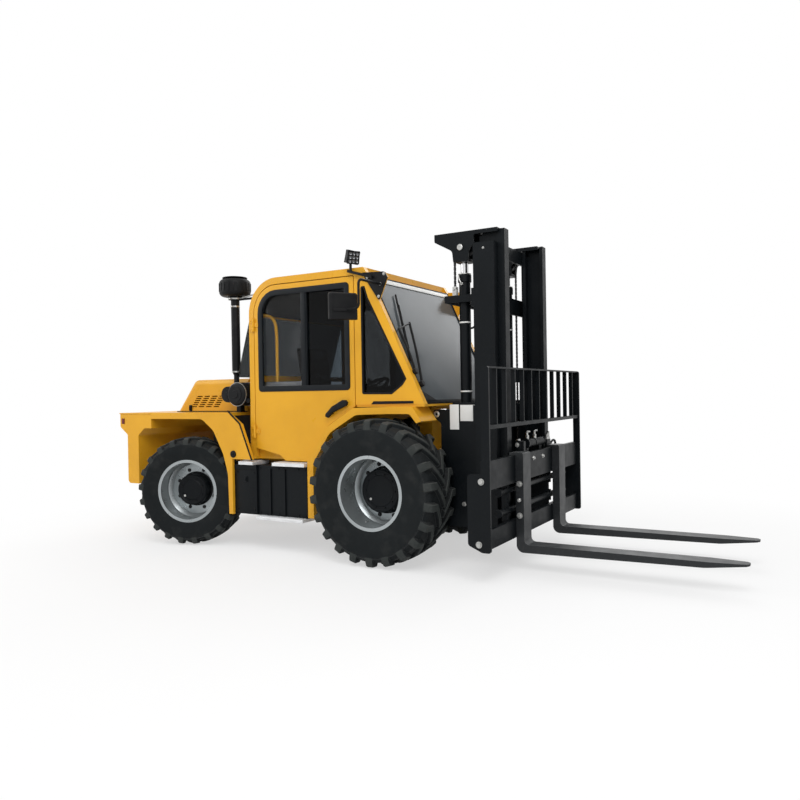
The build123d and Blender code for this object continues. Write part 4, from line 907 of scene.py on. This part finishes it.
# Rear body: diagonal rubber strip, filler caps, hood latches
strips = Shape()
for start, end in (((-1656, 1319), (-1505, 1195)), ((-1505, 1195), (-1363, 854))):
    along = Vector((end[0] - start[0], end[1] - start[1])).normalized()
    side = Vector((-along.y, along.x)) * 8
    outline = [(start[0] + side.x, start[1] + side.y), (end[0] + side.x, end[1] + side.y),
               (end[0] - side.x, end[1] - side.y), (start[0] - side.x, start[1] - side.y)]
    strips.plate(outline, (-905, -899.6), 1.5)
cap_profile = ((0, 0), (0, 34), (10, 33), (14, 28), (14, 12), (20, 11), (20, 0))
caps = Shape()
caps.lathe(cap_profile, stand((-1591, -899.6, 905), outwards), 32)
strips.pair("fender_strips", "chassis", "black_plastic", rubber)
caps.pair("fender_caps", "chassis", "black_plastic", plastic)
filler_profile = ((0, 0), (0, 50), (12, 50), (14, 46), (14, 42), (30, 40), (34, 34), (34, 0))
tank_caps = Shape()
tank_caps.lathe(filler_profile, stand((-1490, -812, 835.6), upwards), 36)
tank_caps.pair("tank_caps", "chassis", "bright_steel", zinc)
latches = Shape()
for x in (-2450, -1780):
    latches.box((x - 18, x + 18), (-613, -600.6), (1312, 1372), 3)
    latches.box((x - 10, x + 10), (-622, -612), (1324, 1362), 3)
latches.pair("hood_latches", "hood_lid", "black_plastic", plastic)

# Air cleaner and its stack: ribs, end covers, clamp bands and the ribs of the top bowl
cleaner_x, second_x, cleaner_z = -1600, -1732, 1475
stack_x, stack_y = -1712, -705
ribs = Shape()
for depth in (-690, -730, -770):
    ribs.band(111, 3.5, 9, stand((cleaner_x, depth, cleaner_z), outwards), 64)
cover_profile = ((0, 0), (0, 78), (6, 76), (6, 40), (12, 36), (12, 0))
ribs.lathe(cover_profile, stand((cleaner_x, -849.6, cleaner_z), outwards), 56)
for depth in (-660, -790):
    ribs.band(75, 3.5, 8, stand((second_x, depth, cleaner_z), outwards))
cover_profile = ((0, 0), (0, 52), (5, 50), (5, 24), (11, 20), (11, 0))
ribs.lathe(cover_profile, stand((second_x, -819.8, cleaner_z), outwards), 40)
for angle in circle(20):
    spot = shift(stack_x, stack_y, 2529) @ Matrix.Rotation(angle, 4, "Z")
    ribs.box((150, 156), (-9, 9), (-46, 34), 2, spot)
lid_profile = ((0, 60), (0, 118), (6, 122), (10, 118), (12, 60))
ribs.lathe(lid_profile, stand((stack_x, stack_y, 2612), upwards))
ribs.done("intake_ribs", "chassis", "black_plastic", plastic)
clamps = Shape()
for z, radius in ((2405, 66.5), (1690, 42.5), (2330, 42.5)):
    clamps.band(radius - 0.8, 3.0, 14, stand((stack_x, stack_y, z), upwards))
    edge = stack_y - radius
    clamps.box((stack_x - 12, stack_x + 12), (edge - 14, edge), (z + 1, z + 13), 1.5)
for x, depth, radius in ((cleaner_x, -640, 112.5), (cleaner_x, -815, 112.5), (second_x, -640, 76.5)):
    clamps.band(radius - 0.8, 3.0, 12, stand((x, depth, cleaner_z), outwards), 56)
clamps.tube([(-1660, -705, 2414), (-1560, -712, 2424), (-1462, -718, 2436)], 8)
clamps.done("intake_clamps", "chassis", "bright_steel", zinc)

# Steps: raised tread bars and screws
treads = Shape()
for x0, x1 in ((-1538, -1366), (-1130, -759)):
    count = int((x1 - x0 - 20) / 24)
    for index in range(count):
        x = x0 + 16 + index * 24
        treads.box((x, x + 10), (-884, -656), (835.6, 841), 1.8)
for index in range(21):
    x = -1286 + index * 25
    treads.box((x, x + 11), (-914, -706), (334.6, 340), 1.8)
treads.box((-1300, -759), (-923.5, -919.6), (305, 337), 1.2)
treads.pair("step_treads", "chassis", "step_aluminium", aluminium)
tank_trim = Shape()
tank_trim.box((-1594, -1332), (-873.5, -870.5), (352, 757), 1.2)
tank_trim.box((-1480, -1440), (-880, -871), (640, 700), 3)
tank_trim.box((-1468, -1452), (-888, -879), (652, 688), 3)
for x, z in ((-1570, 380), (-1360, 380), (-1570, 735), (-1360, 735)):
    tank_trim.bolt((x, -873.2, z), 8)
for x in (-1300, -1080, -850, -775):
    for z in (360, 780):
        tank_trim.bolt((x, -854.9, z), 8)
tank_trim.pair("tank_trim", "chassis", "mast_black", black)

# Mast: leaf chains in place of the plain strips, and the plates of their anchors
chain_pitch = 19.0
chain_foot_z = 430.0
chain_end_z = 2340.0
cylinder_y = -480
sheave_x, sheave_z = 668.0, 2674.0
chain_radius = 90.0
chain_arc = math.pi * chain_radius
chain_front = sheave_z - chain_foot_z
half_link = [(-14, 0), (-12, 5), (-7, 6.5), (0, 4.6), (7, 6.5), (12, 5)]
link = half_link + [(-x, -z) for x, z in half_link]
pin = [(3.4 * math.cos(a), 3.4 * math.sin(a)) for a in circle(6)]


def chain_point(distance):
    """Place and slope of the chain at a distance from the foot of its front run."""
    if distance < chain_front:
        return sheave_x + chain_radius, chain_foot_z + distance, math.pi / 2
    past = distance - chain_front
    if past < chain_arc:
        angle = past / chain_radius
        x = sheave_x + chain_radius * math.cos(angle)
        return x, sheave_z + chain_radius * math.sin(angle), angle + math.pi / 2
    return sheave_x - chain_radius, sheave_z - (past - chain_arc), -math.pi / 2


chains = Shape()
for index in range(int((chain_front + chain_arc + sheave_z - chain_end_z) / chain_pitch)):
    x, z, slope = chain_point((index + 0.5) * chain_pitch)
    place = shift(x, cylinder_y, z) @ Matrix.Rotation(-slope, 4, "Y")
    for y in (-12, -4, 4, 12) if index % 2 else (-8, 0, 8):
        chains.prism(link, (y - 1.7, y + 1.7), place)
    chains.prism(pin, (-15, 15), place @ shift(chain_pitch / 2, 0, 0))
face_out(chains.mesh)
made = chains.pair("leaf_chains", "mast_slide", "chain_steel", chain_steel, 40)
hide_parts("lift_chains")

anchors = Shape()
for inner, outer in ((-500, -504), (-460, -456)):
    anchors.box((562, 596), sorted((inner, outer)), (2262, 2360), 1.2)
    for z in (2285, 2337):
        anchors.bolt((579, outer, z), 9, (0, outer - inner, 0))
anchors.pair("chain_anchors", "mast_base", "bright_steel", zinc)

# Mast: sheave pins, cylinder bands and glands, blank plates, bolts, the far roller and the pivot pins' ends
pin_profile = ((0, 0), (0, 26), (5, 26), (8, 22), (8, 9), (5, 7), (5, 0))
pins = Shape()
for y, direction in ((-566.2, outwards), (-393.8, (0, 1, 0))):
    pins.lathe(pin_profile, stand((sheave_x, y, sheave_z), direction), 32)
pins.pair("sheave_pin_heads", "mast_slide", "bright_steel", zinc)
bands = Shape()
for z in (2043, 1461):
    bands.band(47.4, 3.0, 12, stand((sheave_x, cylinder_y, z), upwards))
bands.pair("cylinder_bands", "mast_base", "body_yellow", plate_white)
glands = Shape()
gland_profile = ((0, 33), (0, 50), (6, 54), (12, 54), (16, 46), (16, 33))
glands.lathe(gland_profile, stand((sheave_x, cylinder_y, 2450.4), upwards))
glands.rod((sheave_x, -527, 2372), (sheave_x, -548, 2372), 13)
glands.tube([(sheave_x, -546, 2372), (sheave_x, -553, 2378), (652, -553, 2408), (640, -540, 2442)], 7)
glands.pair("cylinder_glands", "mast_base", "bright_steel", zinc)
plates = Shape()
for x, z in (((548, 632), (1145, 1356)), ((645, 798), (1217, 1352))):
    plates.box(x, (-561.8, -559.8), z, 0.7)
plates.pair("blank_plates", "mast_base", "rim_silver", plate_white)
mast_bolts = Shape()
mast_bolts.bolt((668, -559.9, 517), 15)
eye_profile = ((0, 0), (0, 30), (5, 29), (8, 14), (5, 12), (5, 0))
mast_bolts.lathe(eye_profile, stand((420, -554.9, 1275), outwards), 28)
mast_bolts.bolt((893, -599.9, 2640), 8)
mast_bolts.pair("mast_bolts", "mast_base", "bright_steel", zinc)
roller = Shape()
roller_profile = ((0, 0), (0, 30), (-4, 52), (-18, 52), (-24, 30), (-24, 0))
roller.lathe(roller_profile, stand((948, 624, 2563), (0, 1, 0)), 40)
roller.done("mast_rollers", "mast_base", "mast_black", black)
pin_ends = Shape()
end_profile = ((0, 0), (0, 46), (4, 46), (7, 42), (7, 20), (4, 18), (4, 0))
pin_ends.lathe(end_profile, stand((500, -560.2, 560), outwards), 36)
pin_ends.pair("mast_pin_ends", "mast_base", "mast_black", black)

# Fork frame: its bolts, the clevis of the side shift cylinder and the bolts of the forks
frame_bolts = Shape()
for x, z in ((1089, 791), (1065, 321)):
    frame_bolts.bolt((x, -1156.9, z), 19)
frame_bolts.bolt((1124.9, -119, 882), 14, (1, 0, 0))
frame_bolts.pair("frame_bolts", "fork_unit", "bright_steel", zinc)
clevis = Shape()
cheek = [(1052, 958), (1098, 958), (1108, 1000), (1098, 1046), (1052, 1046), (1049, 1000)]
for y in ((-364, -351), (-309, -296)):
    clevis.plate(cheek, y, 4)
clevis.done("shift_clevis", "fork_unit", "mast_black", black)
clevis_pin = Shape()
clevis_pin.rod((1072, -330, 1039.5), (1072, -330, 1058), 16)
clevis_pin.bolt((1072, -364.2, 1010), 15)
clevis_pin.done("shift_pin", "fork_unit", "bright_steel", zinc)
fork_bolts = Shape()
for z in (709, 451):
    fork_bolts.bolt((1156, -548.1, z), 19)
fork_bolts.lathe(((0, 0), (0, 15), (30, 15), (34, 10), (34, 0)), stand((1160, -548, 580), outwards), 24)
fork_bolts.pair("fork_bolts", "fork_unit", "bright_steel", zinc)

# Carriage: rings and fittings of the side shift cylinder, the valve block with its pipe, ends of the shafts
shift_x, shift_z = 1072, 1010
valve = Shape()
for y in (-168, 10, 238):
    valve.band(35, 4.5, 9, stand((shift_x, y, shift_z), (0, 1, 0)), 40)
for y, top, low in (((240, 262), 980, 930), ((320, 342), 1010, 960)):
    valve.plate([(1048, 836), (1066, 836), (1066, top), (1048, low)], y, 2)
valve.box((1046, 1066), (300, 520), (832, 868), 3)
valve.box((1040, 1064), (420, 520), (860, 1010), 4)
pipe = ((500, 955), (545, 962), (600, 985), (650, 988), (688, 965), (700, 900), (700, 834))
valve.tube([(1053, y, z) for y, z in pipe], 11)
valve.done("shift_valve", "lift_carriage", "mast_black", black)
fittings = Shape()
for y in (-126, 60):
    fittings.rod((shift_x, y, 1040), (shift_x, y, 1064), 15)
    fittings.lathe(((0, 0), (0, 17), (16, 17), (16, 0)), stand((shift_x, y, 1062), upwards), 6)
    fittings.tube([(shift_x, y, 1076), (1070, y + 6, 1098), (1064, y + 40, 1108), (1062, y + 84, 1106)], 9)
for y, tall in ((440, 44), (470, 58), (500, 72)):
    spigot = ((0, 0), (0, 13), (20, 13), (20, 10), (tall, 10), (tall, 0))
    fittings.lathe(spigot, stand((1052, y, 1009.5), upwards), 6)
fittings.done("shift_fittings", "lift_carriage", "bright_steel", zinc)
shaft_ends = Shape()
for z in (500, 665):
    shaft_ends.lathe(((0, 0), (0, 34), (14, 34), (17, 30), (17, 0)), stand((1078, -800.3, z), outwards), 32)
shaft_ends.pair("shaft_end_caps", "lift_carriage", "mast_black", black)

# Cab inside: headliner, grab bars, side panel, levers with knobs
liner_x, liner_z = -1125.0, 2230.0
liner_front_x = -160.0
quarter_turn = [math.pi - math.pi / 2 * step / 12 for step in range(13)]
outer, inner = [[(liner_x + radius * math.cos(a), liner_z + radius * math.sin(a)) for a in quarter_turn]
                for radius in (268.5, 258.0)]
liner = Shape()
liner.prism(outer + [(liner_front_x, outer[-1][1]), (liner_front_x, inner[-1][1])] + inner[::-1], (-743, 743))
face_out(liner.mesh)
for x in (-1000, -640, -280):
    liner.box((x - 12, x + 12), (-742, 742), (2484, 2490), 2)
liner.done("headliner", "chassis", "black_plastic", plastic)
grab = Shape()
grab.tube([(-1420, -737, 2235), (-1372, -690, 2233), (-1345, -655, 2226), (-1299, -650, 2206),
           (-1258, -650, 2150), (-1243, -650, 2060), (-1240, -650, 1900), (-1240, -650, 1561),
           (-1240, -650, 1200), (-1240, -650, 985)], 15)
grab.lathe(((0, 0), (0, 34), (8, 34), (10, 16), (10, 0)), stand((-1240, -650, 984.2), upwards), 28)
grab.pair("grab_bars", "chassis", "body_yellow", yellow)
panel = Shape()
panel.plate([(-1380, 986), (-840, 986), (-840, 1520), (-880, 1588), (-1380, 1588)], (-700, -682), 5)
panel.done("side_panel", "chassis", "rim_silver", panel_grey)
knobs = Shape()
for index, (x, y) in enumerate(((-1010, -505), (-960, -470), (-1010, -430), (-960, -395), (-1090, -450))):
    top = (x + 26, y, 1600 + 14 * (index % 2))
    knobs.tube([(x - 4, y, 1446), (x + 4, y, 1520), top], 6)
    knobs.lathe(((-14, 0), (-12, 9), (0, 20), (18, 23), (30, 17), (35, 0)), stand(top, (0.12, 0, 1)), 24)
    knobs.lathe(((0, 20), (8, 17), (22, 8), (26, 6)), stand((x - 4, y, 1449), upwards), 24)
horn_profile = ((0, 0), (0, 16), (14, 22), (30, 24), (40, 18), (44, 0))
knobs.lathe(horn_profile, stand((-665, 95, 1568), (-0.5, 0, 0.87)), 28)
knobs.done("control_levers", "chassis", "black_plastic", plastic)


# Seat pads in place of the plain seat
def pad(size, round_off, crown, channels, place, name):
    """A stuffed pad, crowned in front, its sides drawn in between the corners, with sewn channels across."""
    part = bmesh.new()
    bmesh.ops.create_cube(part, size=2.0)
    bmesh.ops.subdivide_edges(part, edges=part.edges[:], cuts=27, use_grid_fill=True)
    limits = [1 - round_off / (s / 2) for s in size]
    for vert in part.verts:
        a, b, c = vert.co
        core = Vector([max(-limit, min(limit, value)) for value, limit in zip((a, b, c), limits)])
        offset = Vector([(value - middle) * s / 2 for value, middle, s in zip((a, b, c), core, size)])
        if offset.length > 0:
            offset = offset.normalized() * min(round_off, offset.length * 1.2)
        spot = Vector([middle * s / 2 for middle, s in zip(core, size)]) + offset
        spot.x *= 1 - 0.035 * (1 - b * b)
        spot.y *= 1 - 0.035 * (1 - a * a)
        if c > 0:
            swell = (1 - a * a) * (1 - b * b)
            sewn = sum(math.exp(-((a - line) / 0.035) ** 2) for line in channels)
            welt = math.exp(-((abs(b) - 0.72) / 0.03) ** 2)
            spot.z += crown * swell ** 0.5 - min(12.0, 11.0 * sewn + 9.0 * welt) * min(1.0, 6 * swell)
        vert.co = spot
    face_out(part)
    cushion = Shape()
    cushion.take(part, place)
    made = cushion.done(name, "chassis", "seat_vinyl", vinyl, 60)
    finer = made.modifiers.new("finer", "SUBSURF")
    finer.levels = 1
    finer.render_levels = 1
    return made


lean = math.atan2(90, 560)
seat_pad = pad((440, 480, 110), 42, 16, (-0.45, 0.0, 0.45), shift(-1005, 0, 1340), "seat_cushion")
back_place = shift(-1276, 0, 1676) @ Matrix.Rotation(math.pi / 2 - lean, 4, "Y")
pad((540, 446, 92), 38, 14, (-0.5, 0.0, 0.5), back_place, "seat_back")
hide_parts("seat")
base = Shape()
base.box((-1180, -830), (-190, 190), (984.4, 1278), 12)
base.box((-1215, -795), (-225, 225), (1268, 1288), 6)
base.box((-1200, -810), (-200, -192), (1100, 1200), 4)
for level in range(7):
    z = 1010 + 34 * level
    fold = 2 * (level % 2)
    base.box((-1190 - fold, -820 + fold), (-198, 198), (z, z + 26), 8)
base.done("seat_base", "chassis", "black_plastic", plastic)
